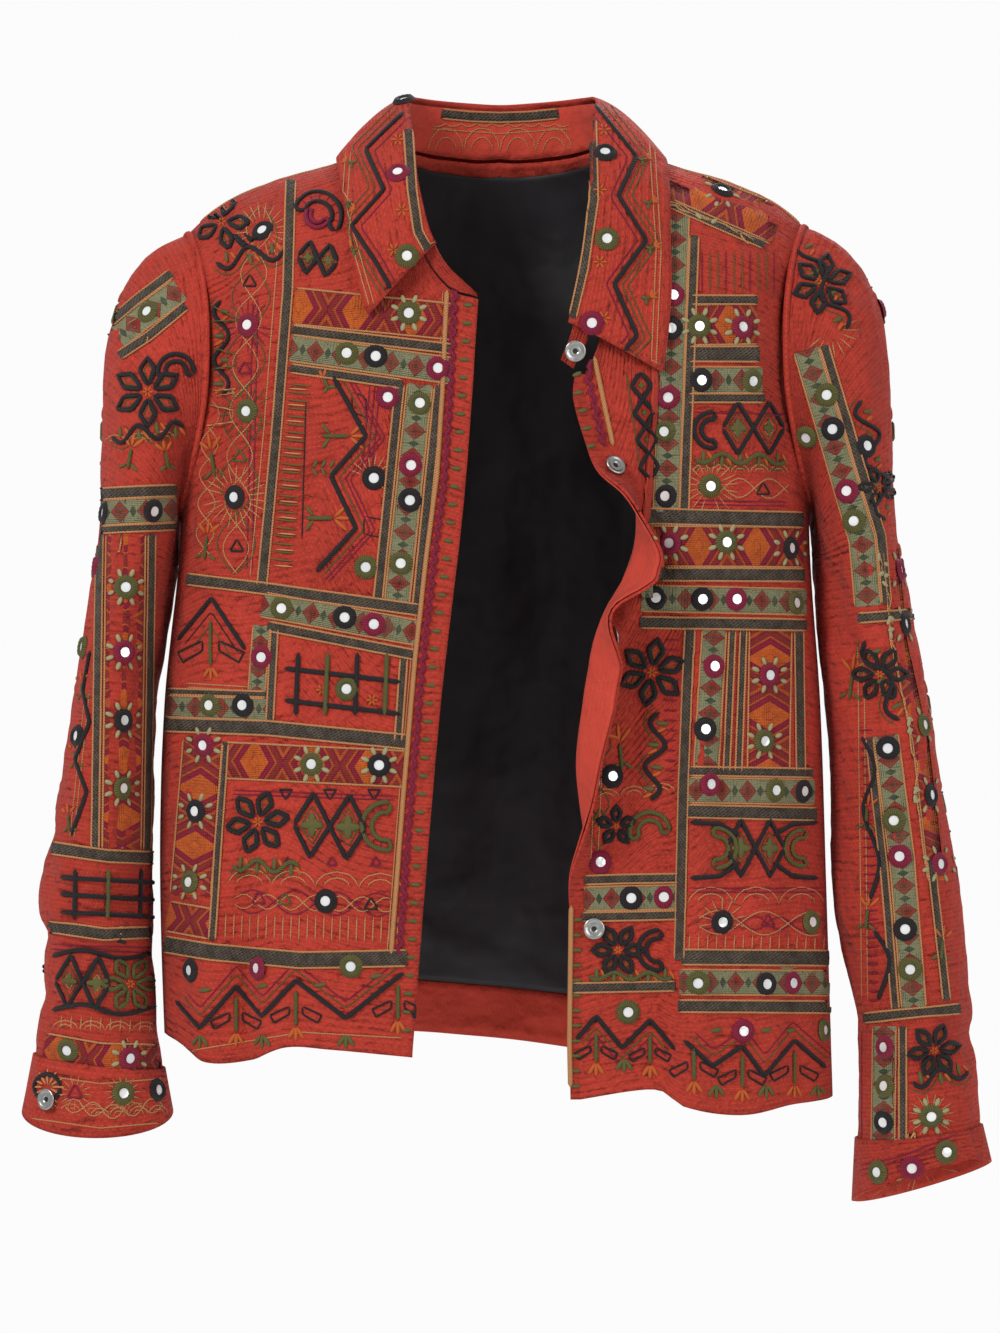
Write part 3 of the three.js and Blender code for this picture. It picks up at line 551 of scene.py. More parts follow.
def sleeve_surface(side, rows, creases):
    outer, inner = Curve(rows, "z", "outer"), Curve(rows, "z", "inner")
    middle, depth = Curve(rows, "z", "y"), Curve(rows, "z", "depth")
    top_z, end_z = rows[0]["z"], rows[-1]["z"]

    def section(around, z):
        angle = around * 2 * math.pi
        half = (outer(z) - inner(z)) / 2
        return Vector(
            (
                side * ((outer(z) + inner(z)) / 2 + half * math.cos(angle)),
                middle(z) - depth(z) * math.sin(angle),
                z + 0.12 * half * math.cos(angle),
            )
        )

    def bare(around, v):
        turn = around % 1
        if v >= CAP_SHARE:
            return section(turn, mix(top_z, end_z, (v - CAP_SHARE) / (1 - CAP_SHARE)))
        t = v / CAP_SHARE
        start, end = bare_torso(armhole_spot(side, turn)), section(turn, top_z)
        top = 0.5 + 0.5 * math.cos(turn * 2 * math.pi)
        front = math.sin(turn * 2 * math.pi)
        gap = SEAM_GAP + 0.6 + 0.5 * top
        start = start + Vector((side * gap, 0, -gap * 0.4))
        length = (end - start).length
        leave = Vector((side * 0.75, -0.12 * front, -0.25 - 0.55 * (1 - top))).normalized()
        leave *= length * mix(0.6, 1.1, top)
        arrive = (section(turn, top_z - 20) - end).normalized() * length
        return (
            start * (2 * t**3 - 3 * t**2 + 1)
            + leave * (t**3 - 2 * t**2 + t)
            + end * (3 * t**2 - 2 * t**3)
            + arrive * (t**3 - t**2)
        )

    def spot(around, v):
        point = bare(around, v)
        degrees = (around % 1) * 360
        height = 0
        for crease in creases:
            off = (degrees - crease["angle"] + 540) % 360 - 180
            along = off / crease["reach"]
            across = (point.z - crease["z"] - crease["slant"] * along) / crease["width"]
            height += crease["height"] * math.exp(-across * across - along * along)
        inner_fade = 0.5 + 0.5 * ease((abs(degrees - 180) - 20) / 30)
        height = height * inner_fade * ease(v * 8) * ease((1 - v) * 8) + crumple(point, 1.2)
        normal = surface_normal(bare, around, v) * side
        return point + normal * height

    return spot


right_sleeve_face = sleeve_surface(-1, RIGHT_SLEEVE, RIGHT_CREASES)
left_sleeve_face = sleeve_surface(1, LEFT_SLEEVE, LEFT_CREASES)


def cuff_surface(cuff, sleeve):
    def laid(around):
        normal = surface_normal(sleeve, around, CUFF_START) * cuff["side"]
        return sleeve(around, CUFF_START) + normal * (CLOTH + SEAM_GAP)

    def spot(around, v):
        angle = around * 2 * math.pi
        lower = Vector(
            (
                cuff["side"] * (cuff["x"] + cuff["width"] * math.cos(angle)),
                cuff["y"] - cuff["depth"] * math.sin(angle),
                cuff["z"] + cuff["rise"] / 2 * math.cos(angle) - cuff["nod"] * math.sin(angle),
            )
        )
        return laid(around).lerp(lower, v)

    return spot


right_cuff_face = cuff_surface(RIGHT_CUFF, right_sleeve_face)
left_cuff_face = cuff_surface(LEFT_CUFF, left_sleeve_face)


def fold_point(row):
    return Vector([collar_curves[name](row) for name in ("foldX", "foldY", "foldZ")])


def stand_face(u, v):
    row = u * LAST_ROW
    seam = bare_torso(neck_place(row))
    up = fold_point(row) - seam
    height = up.length
    top_gap = CLOTH + SEAM_GAP + 3 + 4 * (1 - ease(row / 4))
    return seam + up.normalized() * mix(SEAM_GAP + 2.2, height - top_gap, v)


def leaf_face(u, v):
    row = mix(*LEAF_ROWS, u)
    fold = fold_point(row)
    spot = place(collar_curves["edgeX"](row), collar_curves["edgeW"](row))
    away = torso_normal(spot)
    edge = bare_torso(spot) + away * LEAF_LIFT
    bow = fold.lerp(edge, 0.35) + away * LEAF_ARCH
    point = fold * (1 - v) ** 2 + bow * (2 * v * (1 - v)) + edge * v**2
    return point + away * crumple(point, 0.5) * v


# ---- meshes


class View:
    """Rays from which stitches are placed. Front is the camera; the others look straight on."""

    def __init__(self, side):
        self.side = side

    def ray(self, px, py):
        across, up = (px - ORIGIN_X) * PIXEL * MM, (ORIGIN_Y - py) * PIXEL * MM
        if self.side == "front":
            eye = Vector((0, (VIEW_PLANE - VIEW_DISTANCE) * MM, VIEW_HEIGHT * MM))
            return eye, (Vector((across, VIEW_PLANE * MM, up)) - eye).normalized()
        if self.side == "back":
            return Vector((-across, 1, up)), Vector((0, -1, 0))
        if self.side == "top":
            return Vector((across, up, 1)), Vector((0, 0, -1))
        if self.side == "left":
            return Vector((1, across, up)), Vector((-1, 0, 0))
        return Vector((-1, -across, up)), Vector((1, 0, 0))


VIEWS = {side: View(side) for side in ("front", "back", "left", "right", "top")}


class Lay:
    """A cloth face that stitches are laid on, found along the rays of one view."""

    def __init__(self, tree, view="front", inside=0.0):
        self.tree, self.view, self.inside = tree, VIEWS[view], inside

    def at(self, px, py, lift=0.0):
        eye, ahead = self.view.ray(px, py)
        point, normal, _, _ = self.tree.ray_cast(eye, ahead)
        if point is None:
            near = eye + ahead * (3.5 if self.view.side == "front" else 0.9)
            point, normal, _, _ = self.tree.find_nearest(near)
        if normal.dot(ahead) > 0:
            normal = -normal
        return point + normal * (lift + self.inside) * MM, normal


TREES = {}


def finish_mesh(name, bm, material, weld=True):
    if weld:
        bmesh.ops.remove_doubles(bm, verts=bm.verts, dist=2e-6)
    mesh = bpy.data.meshes.new(name)
    bm.to_mesh(mesh)
    bm.free()
    mesh.polygons.foreach_set("use_smooth", [True] * len(mesh.polygons))
    for m in material if isinstance(material, (list, tuple)) else [material]:
        mesh.materials.append(m)
    obj = bpy.data.objects.new(name, mesh)
    bpy.context.scene.collection.objects.link(obj)
    return obj


def cloth(name, surface, cells, material, node, slot, held="draped", **shape):
    """A piece of cloth on a surface of u and v, with its cut size taken from its own rows."""
    thickness, tube = shape.get("thickness", CLOTH), shape.get("tube", False)
    flip, offset = shape.get("flip", False), shape.get("offset", 0)
    (u0, u1), (v0, v1) = shape.get("us", (0, 1)), shape.get("vs", (0, 1))
    outward = shape.get("outward", lambda u, v: surface_normal(surface, u, v))
    bm = bmesh.new()
    uv_layer = bm.loops.layers.uv.new("cloth")
    bmesh.ops.create_grid(bm, x_segments=cells[0], y_segments=cells[1], size=0.5)
    spots = {v: (mix(u0, u1, v.co.x + 0.5), mix(v0, v1, v.co.y + 0.5)) for v in bm.verts}
    for vert, (u, v) in spots.items():
        point = surface(u, v)
        if offset:
            point = point - outward(u, v) * offset
        vert.co = point * MM

    def length(verts):
        return sum((b.co - a.co).length for a, b in zip(verts, verts[1:]))

    rows, columns = {}, {}
    for vert, (u, v) in spots.items():
        rows.setdefault(round(v, 6), []).append(vert)
        columns.setdefault(round(u, 6), []).append(vert)
    wide = max(length(sorted(r, key=lambda a: spots[a][0])) for r in rows.values())
    tall = max(length(sorted(c, key=lambda a: spots[a][1])) for c in columns.values())
    for face in bm.faces:
        for loop in face.loops:
            u, v = spots[loop.vert]
            loop[uv_layer].uv = (u * wide, v * tall)
    if tube:
        bmesh.ops.remove_doubles(bm, verts=bm.verts, dist=1e-6)
    if flip:
        bmesh.ops.reverse_faces(bm, faces=bm.faces)
    area = sum(face.calc_area() for face in bm.faces)
    bm.normal_update()
    TREES[name] = BVHTree.FromBMesh(bm)
    obj = finish_mesh(name, bm, material, weld=False)
    wall = obj.modifiers.new("wall", "SOLIDIFY")
    wall.thickness = thickness * MM
    wall.offset = -1
    wall.material_offset = 1 if isinstance(material, (list, tuple)) and len(material) > 1 else 0
    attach(obj, "root")
    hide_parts(node)
    return obj


class Batch:
    """Many small stitched things of one thread, gathered into one mesh."""

    def __init__(self, name, material, slot):
        self.name, self.material, self.slot = name, material, slot
        self.bm = bmesh.new()
        self.uv = self.bm.loops.layers.uv.new("cloth")

    def grid(self, nx, ny, spot, uv):
        made = bmesh.ops.create_grid(self.bm, x_segments=nx, y_segments=ny, size=0.5)
        marks = {}
        for vert in made["verts"]:
            i, j = round((vert.co.x + 0.5) * nx), round((vert.co.y + 0.5) * ny)
            marks[vert] = (i, j)
            vert.co = spot(i, j)
        for face in {f for vert in marks for f in vert.link_faces}:
            for loop in face.loops:
                loop[self.uv].uv = uv(*marks[loop.vert])

    def stamp(self, template, matrix):
        before = len(self.bm.verts)
        self.bm.from_mesh(template)
        self.bm.verts.ensure_lookup_table()
        bmesh.ops.transform(self.bm, matrix=matrix, verts=self.bm.verts[before:])

    def finish(self, weld=True):
        obj = finish_mesh(self.name, self.bm, self.material, weld)
        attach(obj, "root")
        return obj


def resample(path, step):
    """Points an even step apart along a line through the given ones, with the way ahead at each."""
    points = [Vector(p) for p in path]
    lengths = [(b - a).length for a, b in zip(points, points[1:])]
    total = sum(lengths)
    count = max(1, round(total / step))
    out = []
    for n in range(count + 1):
        s = total * n / count
        k = 0
        while k < len(lengths) - 1 and s > lengths[k]:
            s -= lengths[k]
            k += 1
        out.append(points[k].lerp(points[k + 1], s / lengths[k]))
    ahead = []
    for n in range(len(out)):
        a, b = out[max(0, n - 1)], out[min(len(out) - 1, n + 1)]
        ahead.append((b - a).normalized())
    return out, ahead, total


def smooth_path(path, closed=False, parts=5):
    """A rounded line through the given points."""
    count = len(path)

    def pick(k):
        return Vector(path[k % count] if closed else path[min(count - 1, max(0, k))])

    out = []
    for n in range(count if closed else count - 1):
        a, b, c, d = (pick(n + k) for k in (-1, 0, 1, 2))
        for k in range(parts):
            t = k / parts
            square = (2 * a - 5 * b + 4 * c - d) * t**2
            out.append(0.5 * (2 * b + (c - a) * t + square + (3 * b - a - 3 * c + d) * t**3))
    out.append(Vector(path[0] if closed else path[-1]))
    return out


BAND_STEP = 4
BAND_SIDES = (-1, -0.86, 0, 0.86, 1)
BAND_LIFTS = (-0.1, 0.65, 0.8, 0.65, -0.1)


def band(batch, lay, path, width, phase=0.0, lift=0.0):
    """A strip of cloth laid along a path and stitched down at both sides."""
    points, ahead, total = resample(path, BAND_STEP)
    spots = []
    for point, way in zip(points, ahead):
        side = Vector((-way.y, way.x)) * width / 2
        places = zip(BAND_SIDES, BAND_LIFTS)
        spots.append([lay.at(*(point + side * k), h + lift)[0] for k, h in places])
    n = len(points) - 1
    scale = PIXEL * MM
    batch.grid(
        n,
        len(BAND_SIDES) - 1,
        lambda i, j: spots[i][j],
        lambda i, j: ((total * i / n - phase) * scale, BAND_SIDES[j] * width / 2 * scale),
    )


CORD_SIDES = 6
CORD_END = 0.02
CORD_SUNK = 0.6


def cord(batch, lay, path, radius=0.9, lift=0.0, step=4.0, flat=0.8):
    """A thread or cord couched along a path, with its ends tucked in."""
    points, _, total = resample(path, step)
    spots = [lay.at(*p, lift + radius * flat * CORD_SUNK) for p in points]
    n = len(spots) - 1
    rings = []
    for i, (point, normal) in enumerate(spots):
        a, b = spots[max(0, i - 1)][0], spots[min(n, i + 1)][0]
        way = (b - a).normalized() if (b - a).length > 1e-9 else Vector((1, 0, 0))
        side = way.cross(normal).normalized()
        r = radius * MM * (CORD_END if i in (0, n) else 1)
        rings.append(
            [
                point
                + side * (r * math.cos(k * math.tau / CORD_SIDES))
                + normal * (r * flat * math.sin(k * math.tau / CORD_SIDES))
                for k in range(CORD_SIDES)
            ]
        )
    batch.grid(
        n,
        CORD_SIDES,
        lambda i, j: rings[i][j % CORD_SIDES],
        lambda i, j: (total * i / n * PIXEL * MM, j / CORD_SIDES * math.tau * radius * MM),
    )


def frame_on(lay, px, py, angle=0.0, lift=0.0):
    """A matrix whose x points along an angle of the view, and whose z stands out of the cloth."""
    point, normal = lay.at(px, py, lift)
    turn = math.radians(angle)
    ahead = lay.at(px + 2 * math.cos(turn), py - 2 * math.sin(turn), lift)[0] - point
    ahead = (ahead - normal * ahead.dot(normal)).normalized()
    side = normal.cross(ahead)
    return Matrix.Translation(point) @ Matrix((ahead, side, normal)).transposed().to_4x4()


def template(name, build):
    bm = bmesh.new()
    bm.loops.layers.uv.new("cloth")
    build(bm)
    mesh = bpy.data.meshes.new(name)
    bm.to_mesh(mesh)
    bm.free()
    return mesh


def leaf_shape(bm):
    bmesh.ops.create_uvsphere(bm, u_segments=6, v_segments=6, radius=1)
    bmesh.ops.rotate(bm, verts=bm.verts, matrix=Matrix.Rotation(QUARTER, 3, "Y"))
    for vert in bm.verts:
        vert.co.z = max(vert.co.z, -0.4)


RING_SPOKES = 12
RING_PROFILE = ((3.1, 0.2), (3.9, 2.1), (6.2, 2.7), (8.5, -0.2))


def ring_shape(bm):
    """A thick ring of stitches that stand side by side, round a mirror."""
    uv = bm.loops.layers.uv.active
    around, rim = RING_SPOKES * 2, len(RING_PROFILE) - 1
    bmesh.ops.create_grid(bm, x_segments=around, y_segments=rim, size=0.5)
    marks = {}
    for vert in bm.verts:
        i, j = round((vert.co.x + 0.5) * around), round((vert.co.y + 0.5) * rim)
        marks[vert] = (i, j)
        radius, height = RING_PROFILE[j]
        groove = 0.9 if i % 2 and 0 < j < rim else 1
        turn = -i * math.pi / RING_SPOKES
        vert.co = Vector((radius * math.cos(turn), radius * math.sin(turn), height * groove)) * MM
    for face in bm.faces:
        for loop in face.loops:
            loop[uv].uv = (marks[loop.vert][0] * 0.0022, marks[loop.vert][1] * 0.0004)
    bmesh.ops.remove_doubles(bm, verts=bm.verts, dist=1e-6)
    bmesh.ops.recalc_face_normals(bm, faces=bm.faces)
    if max(bm.faces, key=lambda f: f.calc_center_median().z).normal.z < 0:
        bmesh.ops.reverse_faces(bm, faces=bm.faces)


def mirror_shape(bm):
    bmesh.ops.create_circle(bm, cap_ends=True, segments=16, radius=3.9 * MM)
    made = bmesh.ops.inset_region(bm, faces=bm.faces[:], thickness=0.9 * MM, depth=0)
    for face in bm.faces:
        if len(face.verts) > 4:
            for vert in face.verts:
                vert.co.z += 0.25 * MM
    bmesh.ops.translate(bm, verts=bm.verts, vec=(0, 0, 0.9 * MM))
    bmesh.ops.recalc_face_normals(bm, faces=bm.faces)
    if bm.faces[:][0].normal.z < 0:
        bmesh.ops.reverse_faces(bm, faces=bm.faces)


# ---- finishes


def srgb(code):
    parts = [int(code[n : n + 2], 16) / 255 for n in (0, 2, 4)]
    return tuple(c / 12.92 if c < 0.04045 else ((c + 0.055) / 1.055) ** 2.4 for c in parts)


def rgba(colour):
    return (*colour, 1.0)


def scaled(colour, factor):
    return tuple(min(1.0, c * factor) for c in colour)


class Finish:
    """Builds one procedural material round its Principled shader."""

    def __init__(self, name, **sockets):
        self.material = bpy.data.materials.new(name)
        self.material.use_nodes = True
        self.tree = self.material.node_tree
        self.shader = self.tree.nodes["Principled BSDF"]
        for socket, value in sockets.items():
            self.shader.inputs[socket.replace("_", " ")].default_value = value

    def put(self, socket, value):
        if isinstance(value, bpy.types.NodeSocket):
            self.tree.links.new(value, socket)
        else:
            socket.default_value = value

    def add(self, kind, inputs, out=0, **props):
        node = self.tree.nodes.new("ShaderNode" + kind)
        for key, value in props.items():
            setattr(node, key, value)
        for key, value in inputs.items():
            self.put(node.inputs[key], value)
        return node.outputs[out]

    def math(self, operation, *values):
        return self.add("Math", dict(enumerate(values)), operation=operation)

    def cloth_uv(self):
        uv = self.add("UVMap", {}, uv_map="cloth")
        node = self.tree.nodes.new("ShaderNodeSeparateXYZ")
        self.tree.links.new(uv, node.inputs[0])
        return node.outputs[0], node.outputs[1]

    def place(self):
        return self.add("TexCoord", {}, out=3)

    def noise(self, scale, detail=3.0, vector=None, roughness=0.5):
        inputs = {"Vector": vector or self.place(), "Scale": scale, "Detail": detail}
        return self.add("TexNoise", {**inputs, "Roughness": roughness})

    def ramp(self, value, *stops, interpolation="CONSTANT"):
        node = self.tree.nodes.new("ShaderNodeValToRGB")
        node.color_ramp.interpolation = interpolation
        while len(node.color_ramp.elements) < len(stops):
            node.color_ramp.elements.new(1.0)
        for element, (position, colour) in zip(node.color_ramp.elements, stops):
            element.position = position
            element.color = rgba(colour)
        self.tree.links.new(value, node.inputs[0])
        return node.outputs[0]

    def range(self, value, low, high, to_low=0.0, to_high=1.0):
        names = ("Value", "From Min", "From Max", "To Min", "To Max")
        return self.add("MapRange", dict(zip(names, (value, low, high, to_low, to_high))))

    def mix(self, factor, a, b, blend="MIX"):
        inputs = {0: factor, 6: a, 7: b}
        for key in (6, 7):
            if isinstance(inputs[key], tuple) and len(inputs[key]) == 3:
                inputs[key] = rgba(inputs[key])
        return self.add("Mix", inputs, out=2, data_type="RGBA", blend_type=blend)

    def wave(self, value, length):
        """From 0 to 1 and back over each length of a measure."""
        angle = self.math("MULTIPLY", value, math.tau / length)
        return self.math("MULTIPLY_ADD", self.math("SINE", angle), 0.5, 0.5)

    def share(self, value, length):
        """The share of the way through each length of a measure."""
        return self.math("FRACT", self.math("DIVIDE", value, length))

    def bump(self, *layers):
        normal = None
        for height, distance in layers:
            inputs = {"Height": height, "Distance": distance, "Strength": 1.0}
            if normal is not None:
                inputs["Normal"] = normal
            normal = self.add("Bump", inputs)
        self.put(self.shader.inputs["Normal"], normal)

    def colour(self, value):
        self.put(self.shader.inputs["Base Color"], value)
        return self.material


def soft(name, roughness=0.88, sheen=0.04, specular=0.2):
    return Finish(
        name,
        Roughness=roughness,
        Sheen_Weight=sheen,
        Sheen_Roughness=0.5,
        Specular_IOR_Level=specular,
    )


def weave_height(f, u, v, thread=0.0011):
    return f.math("MULTIPLY", f.wave(u, thread), f.wave(v, thread))


def make_ground(colour):
    """Washed cotton closely covered in rows of running stitches."""
    f = soft("quilted cotton")
    u, v = f.cloth_uv()
    row = f.math("DIVIDE", v, 0.0034)
    shift = f.math("MULTIPLY", f.math("FLOOR", row), 0.37)
    along = f.math("FRACT", f.math("ADD", f.math("DIVIDE", u, 0.0052), shift))
    on = f.math("LESS_THAN", along, 0.66)
    off = f.math("ABSOLUTE", f.math("SUBTRACT", f.math("FRACT", row), 0.5))
    near = f.math("LESS_THAN", off, 0.16)
    stitch = f.math("MULTIPLY", on, near)
    patchy = f.range(f.noise(9.0, 4.0), 0.32, 0.68)
    fine = f.range(f.noise(160.0, 3.0), 0.3, 0.7)
    base = f.mix(patchy, scaled(colour, 0.86), scaled(colour, 1.12))
    base = f.mix(f.math("MULTIPLY", fine, 0.4), base, scaled(colour, 0.6))
    base = f.mix(f.math("MULTIPLY", stitch, 0.45), base, scaled(colour, 1.5))
    ripple = f.wave(f.math("ADD", v, f.math("MULTIPLY", f.noise(18.0, 1.0), 0.012)), 0.0068)
    f.bump(
        (weave_height(f, u, v), 0.00015),
        (stitch, 0.0004),
        (ripple, 0.0008),
        (f.noise(230.0, 2.0), 0.002),
        (f.noise(60.0, 3.0), 0.007),
        (f.noise(24.0, 2.0), 0.013),
    )
    return f.colour(base)


def make_plain(colour):
    """The same cotton where it is plain: facings, hems and turned edges."""
    f = soft("plain cotton", roughness=0.88)
    u, v = f.cloth_uv()
    base = f.mix(f.range(f.noise(12.0, 4.0), 0.3, 0.7), scaled(colour, 0.9), scaled(colour, 1.1))
    creases = (f.noise(90.0, 3.0), 0.003), (f.noise(24.0, 2.0), 0.012)
    f.bump((weave_height(f, u, v), 0.0002), *creases)
    return f.colour(base)


def make_lining(colour):
    f = soft("dark lining", roughness=0.5, sheen=0.0, specular=0.3)
    u, v = f.cloth_uv()
    base = f.mix(f.range(f.noise(14.0, 3.0), 0.3, 0.7), scaled(colour, 0.8), scaled(colour, 1.5))
    f.bump((weave_height(f, u, v, 0.0006), 0.00005), (f.noise(12.0, 3.0), 0.012))
    return f.colour(base)


def make_tape(colour):
    f = soft("woven tape", roughness=0.8)
    u, v = f.cloth_uv()
    twill = f.wave(f.math("ADD", u, f.math("MULTIPLY", v, 1.4)), 0.0031)
    rib = f.wave(v, 0.0016)
    worn = f.range(f.noise(150.0, 3.0), 0.35, 0.65)
    base = f.mix(twill, scaled(colour, 0.55), scaled(colour, 1.35))
    base = f.mix(f.math("MULTIPLY", worn, 0.75), base, scaled(colour, 0.4))
    uneven = (f.noise(300.0, 2.0), 0.0012), (f.noise(60.0, 3.0), 0.005)
    f.bump((twill, 0.0004), (rib, 0.0003), *uneven)
    return f.colour(base)


def diamond_parts(f, u, v, period, half):
    """From the middle of each diamond of a row: the share of the way to its ends and its sides."""
    along = f.math("ABSOLUTE", f.math("SUBTRACT", f.share(u, period), 0.5))
    return f.math("MULTIPLY", along, 2.0), f.math("DIVIDE", f.math("ABSOLUTE", v), half)


def thread_bump(f, u, v, extra=()):
    threads = f.wave(v, 0.0013)
    uneven = (f.noise(200.0, 2.0), 0.0012), (f.noise(55.0, 3.0), 0.006)
    f.bump((threads, 0.0005), (f.wave(u, 0.0021), 0.0003), *uneven, *extra)


def make_sage(sage, brick, dark):
    """A stitched band: nested brick diamonds, with small dark ones between."""
    f = soft("diamond band")
    u, v = f.cloth_uv()
    along, across = diamond_parts(f, u, v, 0.0178, 0.0108)
    d = f.math("ADD", along, across)
    pattern = f.ramp(
        f.math("DIVIDE", d, 2.0),
        (0.0, scaled(brick, 0.45)),
        (0.09, scaled(brick, 0.8)),
        (0.17, scaled(brick, 0.55)),
        (0.2, brick),
        (0.33, scaled(brick, 0.5)),
        (0.36, sage),
    )
    between = f.math("SUBTRACT", 1.0, along)
    small = f.math("LESS_THAN", f.math("ADD", between, f.math("MULTIPLY", across, 0.7)), 0.27)
    pattern = f.mix(small, pattern, dark)
    worn = f.range(f.noise(120.0, 3.0), 0.35, 0.65)
    base = f.mix(f.math("MULTIPLY", worn, 0.35), pattern, scaled(sage, 0.62))
    thread_bump(f, u, v, ((d, 0.0004),))
    return f.colour(base)


def make_chevron(orange, crimson, ground):
    """A stitched band: large orange diamonds between double crimson chevrons."""
    f = soft("chevron band")
    u, v = f.cloth_uv()
    along, across = diamond_parts(f, u, v, 0.0400, 0.0165)
    d = f.math("ADD", along, f.math("MULTIPLY", across, 0.5))
    pattern = f.ramp(
        f.math("DIVIDE", d, 2.0),
        (0.0, scaled(orange, 1.2)),
        (0.07, scaled(orange, 0.85)),
        (0.09, scaled(orange, 1.1)),
        (0.25, crimson),
        (0.29, scaled(ground, 0.8)),
        (0.32, crimson),
        (0.365, scaled(orange, 0.9)),
        (0.40, scaled(ground, 0.9)),
        (0.50, scaled(crimson, 0.9)),
        (0.54, scaled(orange, 0.9)),
        (0.60, ground),
    )
    worn = f.range(f.noise(90.0, 3.0), 0.35, 0.65)
    base = f.mix(f.math("MULTIPLY", worn, 0.35), pattern, scaled(ground, 0.7))
    thread_bump(f, u, v)
    return f.colour(base)


def make_thread(name, colour, strand=0.0019):
    f = soft(name, roughness=0.7, sheen=0.05, specular=0.3)
    u, v = f.cloth_uv()
    twist = f.wave(f.math("ADD", u, f.math("MULTIPLY", v, 0.7)), strand)
    base = f.mix(twist, scaled(colour, 0.5), scaled(colour, 1.3))
    base = f.mix(f.math("MULTIPLY", f.noise(45.0, 2.0), 0.4), base, scaled(colour, 0.8))
    f.bump((twist, 0.0005), (f.noise(420.0, 2.0), 0.0003))
    return f.colour(base)


def make_mirror():
    f = Finish("mirror glass", Metallic=0.2, Roughness=0.12, Coat_Weight=0.6, Coat_Roughness=0.03)
    tint = f.range(f.noise(70.0, 2.0), 0.3, 0.7)
    f.bump((f.noise(110.0, 2.0), 0.0006),)
    return f.colour(f.mix(tint, (0.78, 0.8, 0.8), (0.95, 0.95, 0.93)))


def make_metal(name, colour, roughness):
    f = Finish(name, Metallic=1.0)
    scratch = f.noise(500.0, 4.0)
    f.put(f.shader.inputs["Roughness"], f.range(scratch, 0.3, 0.7, roughness, roughness + 0.2))
    f.bump((scratch, 0.00008),)
    return f.colour(f.mix(f.noise(40.0, 2.0), scaled(colour, 0.75), colour))


def make_floor():
    f = Finish("pale floor", Roughness=0.9, Specular_IOR_Level=0.1)
    f.bump((f.noise(300.0, 3.0), 0.0004),)
    return f.colour(f.mix(f.noise(3.0, 2.0), (0.80, 0.80, 0.80), (0.84, 0.84, 0.84)))


# ---- settings


def colour_setting(name, code, description):
    look = {"subtype": "COLOR", "size": 3, "min": 0, "max": 1}
    return FloatVectorProperty(name=name, description=description, default=srgb(code), **look)


def length_setting(name, millimetres, description):
    return FloatProperty(
        name=name, description=description, default=millimetres * MM, min=1e-5, unit="LENGTH"
    )


class JacketSettings(bpy.types.PropertyGroup):
    cotton: colour_setting("Cotton", "B53A2C", "Colour of the quilted cotton")
    plain: colour_setting("Plain cotton", "C24435", "Colour of the facings and turned edges")
    lining: colour_setting("Lining", "252427", "Colour of the back lining")
    tape: colour_setting("Tape", "544A40", "Colour of the woven tapes")
    sage: colour_setting("Band", "868565", "Ground of the diamond bands")
    brick: colour_setting("Diamonds", "8E3029", "Larger diamonds on the bands")
    dark: colour_setting("Small diamonds", "3F4A38", "Smaller diamonds on the bands")
    orange: colour_setting("Orange thread", "BE5A20", "Leaves and chevron bands")
    edge: colour_setting("Edge cord", "C78A57", "Cords along tapes and bands")
    crimson: colour_setting("Crimson thread", "8A1438", "Zigzags and mirror rings")
    black: colour_setting("Black cord", "221C20", "Couched cords and mirror rings")
    olive: colour_setting("Olive thread", "5D5A2C", "Stems, bars and mirror rings")
    petal: colour_setting("Pale thread", "A39B72", "Petals round the chevron bands' mirrors")
    metal: colour_setting("Metal", "B9B9B6", "Plating of the buttons")
    cell: length_setting("Mesh cell", 5.0, "Size of the cloth's mesh cells")
    edge_cord: length_setting("Edge cord", 0.75, "Radius of the cords along the tapes")
    couched_cord: length_setting("Couched cord", 1.75, "Radius of the couched cords")
    thin_thread: length_setting("Thin thread", 0.5, "Radius of the single stitched lines")


def settings():
    return bpy.context.scene.jacket


FINISHES = {}
COLOURS = "cotton plain lining tape sage brick dark orange edge crimson black olive petal".split()
COLOURS.append("metal")


def finish(key):
    """The finish of that name, made when first asked for."""
    colours = {name: tuple(getattr(settings(), name)) for name in COLOURS}
    makers = {
        "ground": lambda: make_ground(colours["cotton"]),
        "plain": lambda: make_plain(colours["plain"]),
        "lining": lambda: make_lining(colours["lining"]),
        "tape": lambda: make_tape(colours["tape"]),
        "sage": lambda: make_sage(colours["sage"], colours["brick"], colours["dark"]),
        "chevron": lambda: make_chevron(*(colours[c] for c in ("orange", "crimson", "brick"))),
        "mirror": make_mirror,
        "metal": lambda: make_metal("button metal", colours["metal"], 0.22),
        # painted shade: a near-black copy of the button metal for the floor of each button's hole
        "shadow": lambda: make_metal("button recess", scaled(colours["metal"], 0.12), 0.5),
        "floor": make_floor,
    }
    if key not in FINISHES:
        if key in makers:
            FINISHES[key] = makers[key]()
        else:
            FINISHES[key] = make_thread(key + " thread", colours[key])
    return FINISHES[key]


# ---- pieces


def cells(width, height):
    cell = settings().cell
    return round(width * MM / cell), round(height * MM / cell)


